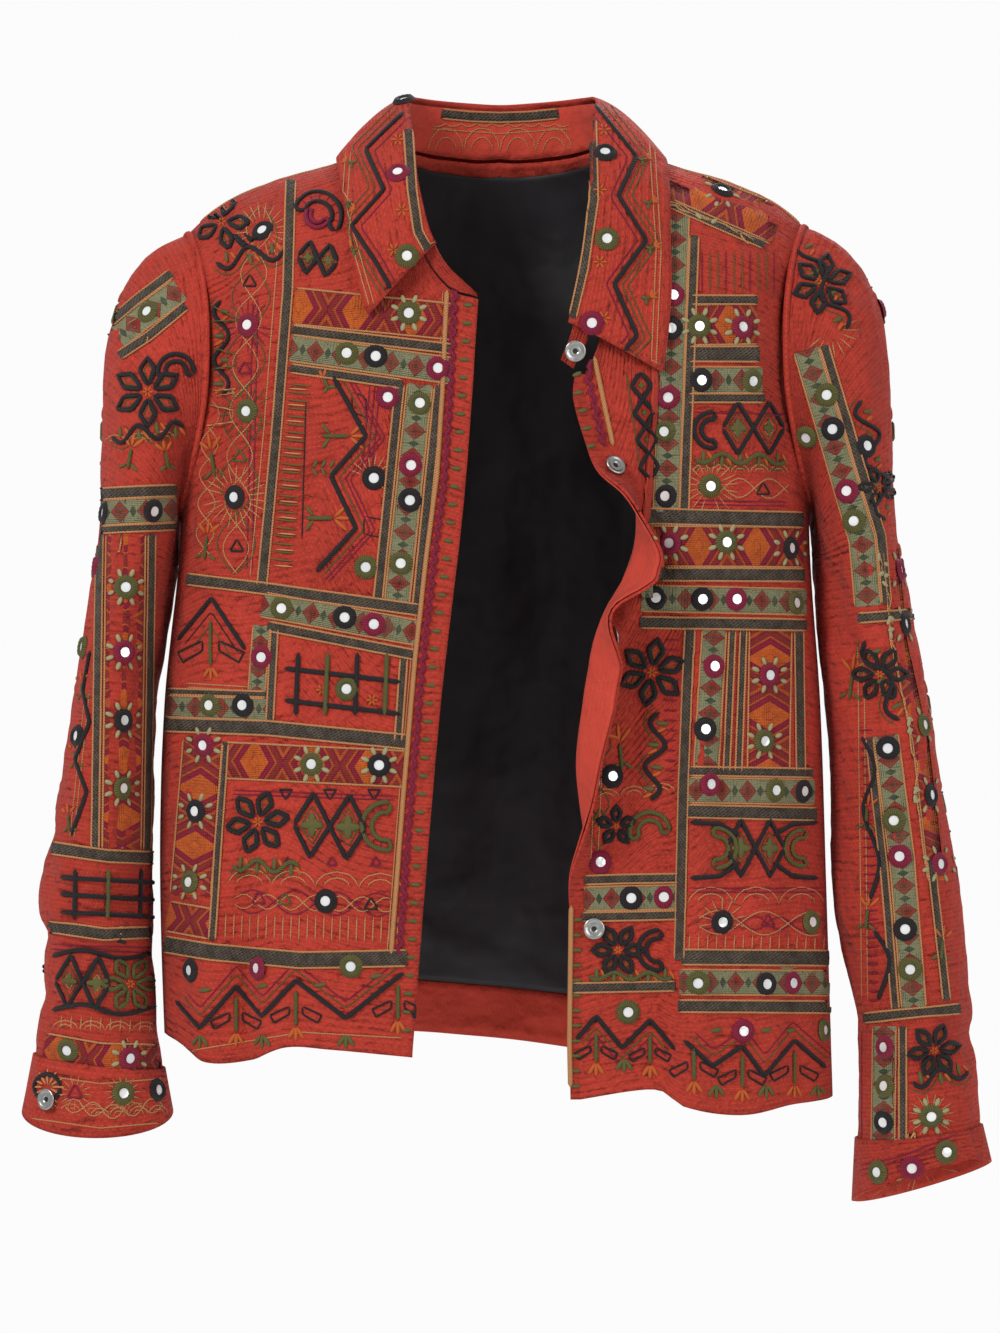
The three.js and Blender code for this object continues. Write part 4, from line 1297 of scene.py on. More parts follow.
def build_shell():
    both = (finish("ground"), finish("plain"))
    flat, tube = {"tube": False}, {"tube": True}
    for name, face, size, node, flip, shape in (
        ("front_panel_right", right_front_face, (300, 640), "front_right", True, flat),
        ("front_panel_left", left_front_face, (340, 680), "front_left", False, flat),
        ("back_panel", back_face, (560, 740), "back", True, flat),
        ("sleeve_cloth_right", right_sleeve_face, (330, 640), "sleeve_right", True, tube),
        ("cuff_cloth_right", right_cuff_face, (330, 40), "cuff_right", True, tube),
        ("sleeve_cloth_left", left_sleeve_face, (330, 640), "sleeve_left", False, tube),
        ("cuff_cloth_left", left_cuff_face, (330, 40), "cuff_left", False, tube),
        ("stand_cloth", stand_face, (560, 35), "collar_stand", True, flat),
        ("leaf_cloth", leaf_face, (560, 75), "collar_leaf", False, flat),
    ):
        cloth(name, face, cells(*size), both, node, "embroidered_cotton", flip=flip, **shape)


def build_inside():
    plain, cotton = finish("plain"), "plain_cotton"
    behind = {"outward": back_outward, "us": (0.04, 0.96), "flip": True, "thickness": LINING}
    for name, face, size, material, node, slot, shape in (
        (
            "back_lining", lining_face, (500, 640), finish("lining"), "lining_back", "dark_lining",
            {**behind, "held": "hung", "offset": CLOTH + LINING_GAP, "vs": (0.0625, 0.985)},
        ),
        (
            "hem_strip", back_face, (500, 36), plain, "hem_facing_back", cotton,
            {**behind, "vs": (0.004, 0.061)},
        ),
        (
            "edge_strip_right", right_front_face, (60, 600), plain, "facing_right", cotton,
            {"outward": right_front_outward, "us": (0.004, 0.25), "vs": (0.004, 0.985),
             "flip": True},
        ),
        (
            "edge_strip_left", left_front_face, (60, 640), plain, "facing_left", cotton,
            {"us": (0.005, 0.265), "vs": (0.003, 0.99)},
        ),
    ):
        shape = {"offset": CLOTH + FACING_GAP, "thickness": LINING, **shape}
        cloth(name, face, cells(*size), material, node, slot, **shape)


def back_outward(u, v):
    return torso_normal(back_spot(u, v))


def right_front_outward(u, v):
    return torso_normal(right_front_spot(u, v))


def lining_face(u, v):
    """The back's own form, hung in soft upright folds with one diagonal pleat."""
    point = back_face(u, v)
    fade = ease(v * 6) * ease((1 - v) * 5) * ease(u * 6) * ease((1 - u) * 6)
    fold = 4.2 * math.sin(point.x * 0.05 + 0.9 * math.sin(point.z * 0.009)) + 2.6
    off = (point.x - 30 + (point.z + 585) * 2.2) / 26
    pleat = 4.0 * math.exp(-off * off) * ease((-480 - point.z) / 60)
    return point + Vector((0, -1, 0)) * fade * (max(0, fold) + pleat)


BUTTON_PROFILE = (
    (0.0, 0.0),
    (2.6, 0.0),
    (2.6, 2.6),
    (6.9, 2.8),
    (7.4, 3.1),
    (7.5, 3.6),
    (7.1, 4.05),
    (6.4, 4.2),
    (5.6, 3.95),
    (4.9, 3.55),
    (3.6, 3.5),
    (2.9, 3.75),
    (2.3, 3.6),
    (1.9, 2.9),
    (0.0, 2.8),
)
BUTTON_SPOKES = 28
# The hole's floor inside this radius and above this height gets painted shade
PAINTED_SHADE_RADIUS, PAINTED_SHADE_HEIGHT = 2.0, 2.6


def build_buttons():
    """Domed metal buttons with a raised rim and a hole in the middle whose floor is painted
    near-black as shade.
    """
    metal, shadow = finish("metal"), finish("shadow")
    for node in BUTTONS:
        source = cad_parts[node].data
        points = [v.co.copy() for v in source.vertices]
        middle = sum(points, Vector()) / len(points)
        axis = button_axis(source, middle)
        low = min((p - middle).dot(axis) for p in points)
        foot = middle + axis * low
        bm = bmesh.new()
        uv = bm.loops.layers.uv.new("cloth")
        profile = [bm.verts.new((r * MM, 0, h * MM)) for r, h in BUTTON_PROFILE]
        edges = [bm.edges.new(pair) for pair in zip(profile, profile[1:])]
        turned = {"cent": (0, 0, 0), "axis": (0, 0, 1), "angle": math.tau, "use_merge": True}
        bmesh.ops.spin(bm, geom=profile + edges, steps=BUTTON_SPOKES, **turned)
        bmesh.ops.remove_doubles(bm, verts=bm.verts, dist=1e-6)
        bmesh.ops.recalc_face_normals(bm, faces=bm.faces)
        for face in bm.faces:
            centre = face.calc_center_median()
            # faces on the hole's floor take the painted-shade finish
            inside = math.hypot(centre.x, centre.y) < PAINTED_SHADE_RADIUS * MM
            if inside and centre.z > PAINTED_SHADE_HEIGHT * MM:
                face.material_index = 1
            for loop in face.loops:
                loop[uv].uv = loop.vert.co.xy
        turn = Vector((0, 0, 1)).rotation_difference(axis).to_matrix().to_4x4()
        bmesh.ops.transform(bm, matrix=Matrix.Translation(foot) @ turn, verts=bm.verts)
        obj = finish_mesh("metal_" + node, bm, (metal, shadow), weld=False)
        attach(obj, "root")
        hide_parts(node)


def button_axis(mesh, middle):
    """The way a button faces: out of the flat side that has the largest faces."""
    largest = max(mesh.polygons, key=lambda face: face.area).normal
    level = [face for face in mesh.polygons if face.normal.dot(largest) > 0.9]
    axis = sum((face.normal * face.area for face in level), Vector()).normalized()
    reach = [(v.co - middle).dot(axis) for v in mesh.vertices]
    across = [(v.co - middle).cross(axis).length for v in mesh.vertices]
    rim = [r for r, a in zip(reach, across) if a > max(across) * 0.9]
    toward = sum(rim) / len(rim) - (max(reach) + min(reach)) / 2
    return axis if toward > 0 else -axis


FLOOR_RADIUS, FLOOR_HEIGHT = 1.6, -1.2
WORLD_SEEN, WORLD_LIT = 0.97, 0.5
LAMP_AIM = (0, 0, -0.35)
LAMPS = (
    ("key", (-2.0, -2.4, 1.7), 76, 1.0),
    ("fill", (2.4, -2.4, 0.2), 31, 1.8),
    ("behind", (0.4, 2.4, 1.6), 60, 1.6),
)
SENSOR = 36


def build_stage():
    bm = bmesh.new()
    bmesh.ops.create_circle(bm, cap_ends=True, segments=96, radius=FLOOR_RADIUS)
    bmesh.ops.translate(bm, verts=bm.verts, vec=(0, 0, FLOOR_HEIGHT))
    floor = finish_mesh("floor", bm, finish("floor"))

    world = bpy.data.worlds.new("studio")
    world.use_nodes = True
    tree = world.node_tree
    seen = tree.nodes["Background"]
    seen.inputs["Color"].default_value = rgba([WORLD_SEEN] * 3)
    lit = tree.nodes.new("ShaderNodeBackground")
    lit.inputs["Color"].default_value = rgba([WORLD_LIT] * 3)
    paths = tree.nodes.new("ShaderNodeLightPath")
    choose = tree.nodes.new("ShaderNodeMixShader")
    tree.links.new(paths.outputs["Is Camera Ray"], choose.inputs[0])
    tree.links.new(lit.outputs[0], choose.inputs[1])
    tree.links.new(seen.outputs[0], choose.inputs[2])
    tree.links.new(choose.outputs[0], tree.nodes["World Output"].inputs["Surface"])
    bpy.context.scene.world = world

    for name, spot, power, size in LAMPS:
        light = bpy.data.lights.new(name, "AREA")
        light.energy = power
        light.size = size
        lamp = bpy.data.objects.new(name, light)
        lamp.location = spot
        aim = Vector(LAMP_AIM) - lamp.location
        lamp.rotation_euler = aim.to_track_quat("-Z", "Y").to_euler()
        bpy.context.scene.collection.objects.link(lamp)

    data = bpy.data.cameras.new("camera")
    data.lens = SENSOR * VIEW_DISTANCE / (VIEW_PIXELS * PIXEL)
    data.sensor_width = SENSOR
    data.sensor_fit = "AUTO"
    camera = bpy.data.objects.new("camera", data)
    camera.location = (0, (VIEW_PLANE - VIEW_DISTANCE) * MM, VIEW_HEIGHT * MM)
    camera.rotation_euler = (QUARTER, 0, 0)
    bpy.context.scene.collection.objects.link(camera)
    bpy.context.scene.camera = camera
    bpy.context.scene.view_settings.view_transform = "Standard"


# ---- embroidery


TAPE_LIFT = 0.3
TAPE_SHARE = 0.8
STITCH_LIFT = 0.3
EDGE_LIFT = 0.2
FIGURE_LIFT = 0.1
FIGURE_STEP = 3
THREAD_STEP = 6.0
STEM_SHARE = 0.85
LEAF_HEIGHT = 1.1
RING_LIFT = 0.7
RING_ORDER = ("olive", "crimson", "black")
STRIP_MESHES = {"tape": "tapes", "sage": "diamond_bands", "chevron": "chevron_bands"}


def polar(x, y, radius, degrees):
    """The pixel at a distance from another; 0 degrees is to the right and 90 is up."""
    turn = math.radians(degrees)
    return x + radius * math.cos(turn), y - radius * math.sin(turn)


def heading(way):
    return math.degrees(math.atan2(-way.y, way.x))


class Work:
    """Embroidery laid on one cloth from one view, gathered into one mesh for each thread."""

    batches = {}
    templates = {}

    def __init__(self, cloth_name, view="front", inside=0.0):
        self.lay = Lay(TREES[cloth_name], view, inside)

    @classmethod
    def batch(cls, name, key, slot="embroidered_cotton"):
        if name not in cls.batches:
            cls.batches[name] = Batch(name, finish(key), slot)
        return cls.batches[name]

    @classmethod
    def shape(cls, name, build):
        if name not in cls.templates:
            cls.templates[name] = template(name, build)
        return cls.templates[name]

    def cord(self, colour, path, lift=0.0):
        radius = settings().couched_cord / MM
        cord(self.batch("couched_" + colour, colour), self.lay, path, radius, lift)

    def thread(self, colour, path):
        radius = settings().thin_thread / MM
        cord(self.batch("threads_" + colour, colour), self.lay, path, radius, step=THREAD_STEP)

    def outline(self, colour, path):
        radius = settings().edge_cord / MM
        batch = self.batch("couched_" + colour, colour)
        cord(batch, self.lay, path, radius, FIGURE_LIFT, step=FIGURE_STEP)

    def stem(self, colour, foot, top):
        radius = settings().couched_cord / MM * STEM_SHARE
        batch = self.batch("stems_" + colour, colour)
        cord(batch, self.lay, (foot, top), radius, FIGURE_LIFT, step=FIGURE_STEP)

    def strip(self, kind, width, path, phase=0.0, lift=0.0):
        width *= TAPE_SHARE if kind == "tape" else 1
        band(self.batch(STRIP_MESHES[kind], kind), self.lay, path, width, phase, lift)
        radius = settings().edge_cord / MM
        for side in (-0.5, 0.5):
            edge = beside(path, side * width)
            cord(self.batch("edge_cords", "edge"), self.lay, edge, radius, EDGE_LIFT + lift)

    def tape(self, width, path):
        self.strip("tape", width, path, lift=TAPE_LIFT)

    def strips(self, *rows):
        """Lay strips in order: each row is a kind, a width, a phase and the numbers of the path."""
        for kind, width, phase, *numbers in rows:
            path = list(zip(numbers[::2], numbers[1::2]))
            self.strip(kind, width, path, phase, TAPE_LIFT if kind == "tape" else 0.0)

    def leaf(self, colour, x, y, angle=0.0, length=11.0, width=4.0, lift=STITCH_LIFT):
        mesh = self.shape("leaf", leaf_shape)
        half_length, half_width = length / 2 * PIXEL * MM, width / 2 * PIXEL * MM
        size = Matrix.Diagonal((half_length, half_width, LEAF_HEIGHT * MM, 1))
        matrix = frame_on(self.lay, x, y, angle, lift) @ size
        self.batch("leaves_" + colour, colour).stamp(mesh, matrix)

    def spray(self, colour, x, y, angles, reach, length, width, lift=STITCH_LIFT):
        """Leaves that point away from one spot."""
        for angle in angles:
            self.leaf(colour, *polar(x, y, reach, angle), angle, length, width, lift)

    def ring(self, colour, x, y, petals=False):
        matrix = frame_on(self.lay, x, y, 0, RING_LIFT)
        self.batch("mirror_rings_" + colour, colour).stamp(self.shape("ring", ring_shape), matrix)
        mirror = self.batch("mirrors", "mirror", "button_metal")
        mirror.stamp(self.shape("mirror", mirror_shape), matrix)
        if petals:
            self.spray("petal", x, y, range(22, 382, 45), 15, 9, 5, 0.9)

    def rings(self, petals=False, **places):
        for colour, spots in places.items():
            for x, y in spots:
                self.ring(colour, x, y, petals)

    def triangle(self, colour, x, y, size=8, turn=0):
        self.outline(colour, [polar(x, y, size, 90 + turn + 120 * n) for n in range(4)])

    def leaves_along(self, colour, path, step, reach, lean, length):
        points, ahead, _ = resample(path, step)
        for point, way in zip(points[1:], ahead[1:]):
            angles = [heading(way) + side * lean for side in (-1, 1)]
            self.spray(colour, *point, angles, reach, length, 3.4)

    def bars(self, colour, path, step, length, width=4.0):
        points, ahead, _ = resample(path, step)
        for point, way in zip(points, ahead):
            self.leaf(colour, *point, heading(way) + 90, length, width)

    def sprig(self, x, y, angle, size=30.0):
        """A thick straight stem with a three-leaved tip and two leaves at its foot."""
        top, root = polar(x, y, size * 0.62, angle), polar(x, y, size * 0.2, angle)
        self.stem("olive", (x, y), top)
        tips = [angle + side for side in (-42, 0, 42)]
        self.spray("orange", *top, tips, size * 0.24, max(9, size * 0.4), 4.4)
        low = [angle + side for side in (-125, 125)]
        self.spray("olive", *root, low, size * 0.2, max(8, size * 0.3), 3.8)

    def star(self, colour, x, y, size=9.0, points=8):
        angles = [360 * n / points for n in range(points)]
        self.spray(colour, x, y, angles, size * 0.6, size, 2.6)

    def zigzag(self, points, beside_it=(("olive", -8), ("olive", -13))):
        self.cord("black", points)
        for other, distance in beside_it:
            self.thread(other, beside(points, distance))

    def wobble(self, path):
        """A crimson cord that steps from side to side of a path."""
        points, _, _ = resample(path, 6)
        self.cord("crimson", [(p.x + (2.6 if n % 2 else -2.6), p.y) for n, p in enumerate(points)])

    def diamonds(self, x0, y0, x1, y1, count, half):
        """Two cords that cross over and over, with a small filled diamond in each gap."""
        start, end = Vector((x0, y0)), Vector((x1, y1))
        way = (end - start).normalized()
        side = Vector((-way.y, way.x)) * half
        marks = [start.lerp(end, n / count) for n in range(count + 1)]
        middles = [a.lerp(b, 0.5) for a, b in zip(marks, marks[1:])]
        for sign in (-1, 1):
            path = [marks[0]]
            for n, middle in enumerate(middles):
                path += [middle + side * sign * (1 if n % 2 else -1), marks[n + 1]]
            self.cord("black", path)
        for middle in middles:
            for turn in (0, 90):
                self.leaf("olive", *middle, turn, half * 0.8, half * 0.34)

    def scallops(self, x0, y0, x1, y1, count, depth=10.0):
        start, end = Vector((x0, y0)), Vector((x1, y1))
        half = (end - start).length / count / 2
        turns = [math.pi * k / 6 for k in range(7)]
        for n in range(count):
            x, y = start.lerp(end, (n + 0.5) / count)
            for share in (1, 0.62):
                wide, tall = half * share, depth * share
                arc = [(x - wide * math.cos(t), y - tall * math.sin(t)) for t in turns]
                self.thread("edge", arc)

    def fan(self, colour, x, y, radius, angle=90, spread=150, lines=9):
        for n in range(lines):
            turn = angle + spread * (n / (lines - 1) - 0.5)
            self.thread(colour, [polar(x, y, radius * share, turn) for share in (0.35, 1)])

    def rows(self, colour, path, offsets):
        for offset in offsets:
            self.thread(colour, beside(path, offset))

    def arrow(self, x, y, size):
        """A thick stem between two outlined bars, ending in three orange leaves."""
        self.stem("olive", (x, y), (x, y + size))
        for side in (-1, 1):
            a, b = side * size * 0.18, side * size * 0.72
            bar = ((a, 0.5), (b, 0.78), (b * 0.84, 1.02), (a, 0.74), (a, 0.5))
            self.outline("black", [(x + p, y + size * q * 0.9) for p, q in bar])
        self.spray("orange", x, y + size, (-122, -90, -58), 8, 13, 4.4)

    def tuft(self, x, y):
        self.spray("olive", x, y, (-124, -90, -56), 8, 14, 4.8)

    def pillars(self, x0, y0, x1, y1, height, count):
        for n in range(count):
            t = n / (count - 1)
            x, y = mix(x0, x1, t), mix(y0, y1, t)
            self.thread("edge", ((x, y), (x - 1, y + height)))

    def flower(self, colour, x, y, size, petals=6, turn=0.0):
        """Pointed petals of couched cord round a stitched middle."""
        middle = Vector((x, y))
        for n in range(petals):
            way = Vector(polar(0, 0, 1, turn + 360 * n / petals))
            side = Vector((-way.y, way.x))
            for scale, shade, draw in ((1.0, colour, self.cord), (0.5, "olive", self.thread)):
                tip = middle + way * size * (0.6 + 0.4 * scale)
                belly = middle + way * size * 0.66
                root = middle + way * size * (0.5 - 0.32 * scale)
                out = side * size * 0.24 * scale
                draw(shade, (root, belly + out, tip, belly - out, root))
        self.star("orange", x, y, size * 0.16, 6)

    def crescent(self, colour, x, y, size, turn=0.0):
        """A bent loop of couched cord with short stitches across it."""
        angles = [turn + 200 * (n / 8 - 0.5) for n in range(9)]
        outer, inner = ([polar(x, y, size * share, a) for a in angles] for share in (1.0, 0.6))
        self.cord(colour, smooth_path(outer + inner[::-1], closed=True, parts=3))
        for ends in zip(outer[1:-1], inner[1:-1]):
            self.thread("crimson", ends)

    def lozenges(self, x0, y0, x1, y1, half):
        """Two crossing lozenges, side by side, each with two smaller ones inside it."""
        self.diamonds(x0, y0, x1, y1, 2, half)
        wide = abs(x1 - x0) / 4
        for t in (0.25, 0.75):
            x, y = mix(x0, x1, t), mix(y0, y1, t)
            for share, shade in ((0.62, "olive"), (0.36, "edge")):
                ring = ((x - wide * share, y), (x, y - half * share), (x + wide * share, y))
                self.thread(shade, (*ring, (x, y + half * share), ring[0]))

    def vine(self, x0, y0, x1, y1, swing, turns, colour="black"):
        """A wavy cord with a thread beside it and a pair of leaves in each bend."""
        start, end = Vector((x0, y0)), Vector((x1, y1))
        way = (end - start).normalized()
        side = Vector((-way.y, way.x))
        path = []
        for n in range(turns * 6 + 1):
            t = n / (turns * 6)
            path.append(start.lerp(end, t) + side * swing * math.sin(t * turns * math.pi))
        self.cord(colour, path)
        self.thread("olive", beside(path, 6))
        for n in range(turns):
            spot = start.lerp(end, (n + 0.5) / turns) + side * swing * (0.35 if n % 2 else -0.35)
            angle = heading(side) + (180 if n % 2 else 0)
            self.leaf("olive", *spot, angle, 14, 5)
            self.leaf("orange", *(spot + way * 7), angle + 30, 12, 4)

    def web(self, colour, path, swing, length):
        """Two wavy threads that cross between the mirrors of a row."""
        points, ahead, _ = resample(path, THREAD_STEP)
        for sign in (-1, 1):
            wavy = []
            for n, (point, way) in enumerate(zip(points, ahead)):
                off = sign * swing * math.sin(n * THREAD_STEP / length * math.pi)
                wavy.append((point.x - way.y * off, point.y + way.x * off))
            self.thread(colour, wavy)

    def box(self, colour, x0, y0, x1, y1, lean):
        self.thread(colour, ((x0, y0), (x1, y0 + lean), (x1, y1 + lean), (x0, y1), (x0, y0)))

    def weave_patch(self, x0, y0, x1, y1, across, down, lean):
        """Crossing couched cords, black between olive."""
        for n in range(down):
            y = mix(y0, y1, (n + 0.5) / down)
            self.cord("black", ((x0, y), (x1, y + lean)))
        for n in range(across):
            x = mix(x0, x1, (n + 0.5) / across)
            self.cord("olive" if n % 2 else "black", ((x, y0), (x - lean * 0.2, y1)), 0.4)


def beside(path, distance):
    """A line at an even distance from a path, mitred at its corners."""
    points = [Vector(p) for p in path]
    out = []
    for n, point in enumerate(points):
        ways = []
        if n:
            ways.append((point - points[n - 1]).normalized())
        if n < len(points) - 1:
            ways.append((points[n + 1] - point).normalized())
        sides = [Vector((-w.y, w.x)) for w in ways]
        middle = sum(sides, Vector((0, 0))).normalized()
        out.append(point + middle * distance / max(0.45, middle.dot(sides[0])))
    return out


def stitch_right_front():
    w = Work("front_panel_right")
    w.strip("tape", 12, ((291, 180), (288, 290), (276, 440), (262, 588)))
    w.strips(
        ("chevron", 36, 34, 294, 306, 455, 322),
        ("tape", 12, 0, 292, 330, 452, 349),
        ("sage", 26, 12, 291, 348, 452, 371),
        ("tape", 11, 0, 290, 368, 402, 384),
        ("sage", 25, 9, 420, 384, 397, 603),
        ("tape", 11, 0, 400, 384, 378, 600),
        ("tape", 11, 0, 439, 386, 417, 606),
        ("tape", 14, 0, 187, 579, 262, 588, 420, 610),
        ("sage", 25, 12, 262, 604, 418, 633),
        ("tape", 12, 0, 268, 626, 416, 655),
        ("sage", 17, 6, 262, 625, 257, 692),
        ("tape", 9, 0, 275, 628, 270, 722),
        ("sage", 24, 16, 167, 706, 268, 709),
        ("tape", 9, 0, 168, 692, 266, 695),
        ("tape", 18, 0, 165, 724, 268, 728, 408, 742),
        ("chevron", 36, 2, 224, 760, 407, 769),
        ("chevron", 40, 20, 204, 740, 191, 895),
        ("tape", 8, 0, 226, 742, 212, 940),
        ("chevron", 30, 24, 168, 916, 212, 924),
        ("tape", 20, 0, 165, 944, 212, 952, 300, 960, 407, 958),
        ("tape", 9, 0, 404, 658, 398, 742),
    )

    w.rings(
        black=((263, 231), (235, 497), (376, 356), (410, 500), (374, 478), (345, 617), (243, 705)),
        olive=((247, 411), (347, 353), (420, 403), (401, 563), (366, 567), (282, 608), (347, 689)),
        crimson=((248, 325), (438, 368), (388, 397), (411, 465), (374, 624), (262, 657)),
    )
    w.rings(
        True,
        olive=((409, 313), (312, 764), (190, 882)),
        black=((379, 765), (196, 811)),
        crimson=((204, 745),),
    )
    w.rings(
        black=((326, 901), (191, 970)), olive=((210, 705), (351, 966)), crimson=((258, 968),)
    )
    for colour, *spots in (
        ("black", (250, 282), (237, 547), (371, 905)),
        ("crimson", (245, 369), (259, 899)),
        ("olive", (240, 457), (285, 900)),
    ):
        for spot in spots:
            w.triangle(colour, *spot)

    # The strip beside the opening
    edge = ((455, 290), (451, 380), (445, 475), (434, 560), (423, 660), (411, 800), (399, 955))
    w.cord("edge", beside(edge, 8))
    w.thread("edge", beside(edge, 12))
    w.wobble(edge)
    bars = ((468, 305), (458, 455), (446, 561), (433, 660), (421, 800), (411, 950), (406, 1030))
    w.bars("olive", bars, 18, 10, 4.6)

    # Zigzag panel
    w.zigzag(
        ((333, 376), (366, 436), (331, 476), (356, 528), (316, 572)),
        beside_it=(("olive", -7), ("crimson", -12), ("crimson", -16)),
    )
    w.sprig(322, 436, 0, 44)
    w.sprig(306, 518, 0, 44)
    w.sprig(330, 390, 118, 22)
    w.leaves_along("olive", ((304, 468), (330, 468)), 9, 5, 60, 9)
    w.bars("olive", ((300, 385), (282, 560)), 8, 24, 1.8)
    w.bars("edge", ((298, 389), (284, 566)), 16, 20, 1.8)
    w.box("black", 352, 392, 366, 412, 5)
    w.box("black", 364, 516, 384, 534, 4)
    w.rows("crimson", ((380, 385), (372, 470)), (0, 5, 10))
    w.fan("edge", 372, 478, 26, 60, 200, 11)

    # Arrow panel
    w.zigzag(((178, 640), (212, 598), (246, 650)), beside_it=(("black", 8), ("olive", 16)))
    w.arrow(211, 620, 46)
    w.rows("edge", ((184, 690), (250, 694)), (-3, -7))

    # Crossed cords in a frame
    w.weave_patch(284, 652, 402, 716, 4, 2, 14)
    w.star("orange", 322, 690, 6, 6)
    w.star("orange", 372, 700, 6, 6)

    # Upper panels
    w.flower("black", 222, 222, 28, 5, 70)
    w.crescent("black", 318, 216, 24, 60)
    w.vine(216, 262, 284, 250, 9, 3)
    w.lozenges(298, 256, 338, 262, 16)
    w.vine(222, 300, 222, 396, 8, 4)
    w.crescent("crimson", 318, 216, 12, 240)
    w.fan("edge", 262, 231, 30, 90, 330, 20)
    w.fan("edge", 235, 497, 34, 0, 330, 22)
    w.fan("olive", 247, 411, 30, 180, 300, 16)
    w.fan("crimson", 248, 325, 28, 200, 300, 16)
    w.sprig(216, 478, 100, 44)
    w.sprig(205, 560, 84, 40)
    w.scallops(196, 396, 236, 398, 2)
    w.rows("crimson", ((258, 300), (252, 570)), (0, 5))
    w.rows("edge", ((284, 250), (270, 430), (256, 580)), (6,))

    # Thin threads that link the mirrors
    w.web("edge", ((262, 205), (248, 325), (240, 457), (235, 575)), 13, 46)
    w.web("olive", ((262, 205), (248, 325), (240, 457), (235, 575)), 19, 62)
    w.web("edge", ((212, 400), (204, 560)), 9, 30)
    w.web("crimson", ((232, 901), (398, 905)), 12, 42)
    w.web("edge", ((232, 901), (398, 905)), 8, 24)
    w.rows("black", ((300, 400), (296, 540)), (-6,))

    # Lower panel and hem
    w.lozenges(294, 824, 366, 828, 32)
    w.flower("black", 258, 822, 32, 6, 10)
    w.crescent("olive", 386, 826, 24, 180)
    w.vine(232, 864, 300, 868, 6, 4, "olive")
    for x in (286, 330, 374):
        w.triangle("black", x, 793, 7, 180)
        w.triangle("crimson", x + 2, 862, 6)
    w.rows("crimson", ((232, 790), (396, 796)), (0, 4))
    w.scallops(228, 884, 402, 890, 4, depth=16)
    w.pillars(226, 912, 398, 916, 28, 22)
    w.zigzag(
        ((176, 1000), (200, 1028), (236, 986), (262, 1016), (296, 980), (346, 1018), (404, 972)),
        beside_it=(("olive", -8), ("crimson", -13)),
    )
    for x, y in ((236, 996), (296, 990), (398, 984)):
        w.arrow(x, y, 36)
    for x in (200, 262, 346):
        w.tuft(x, 1034)
    for x, y in ((205, 990), (262, 986), (320, 985), (376, 976)):
        w.leaf("olive", x, y, 10, 14, 5)
    w.rows("edge", ((178, 1006), (300, 986), (406, 992)), (46,))


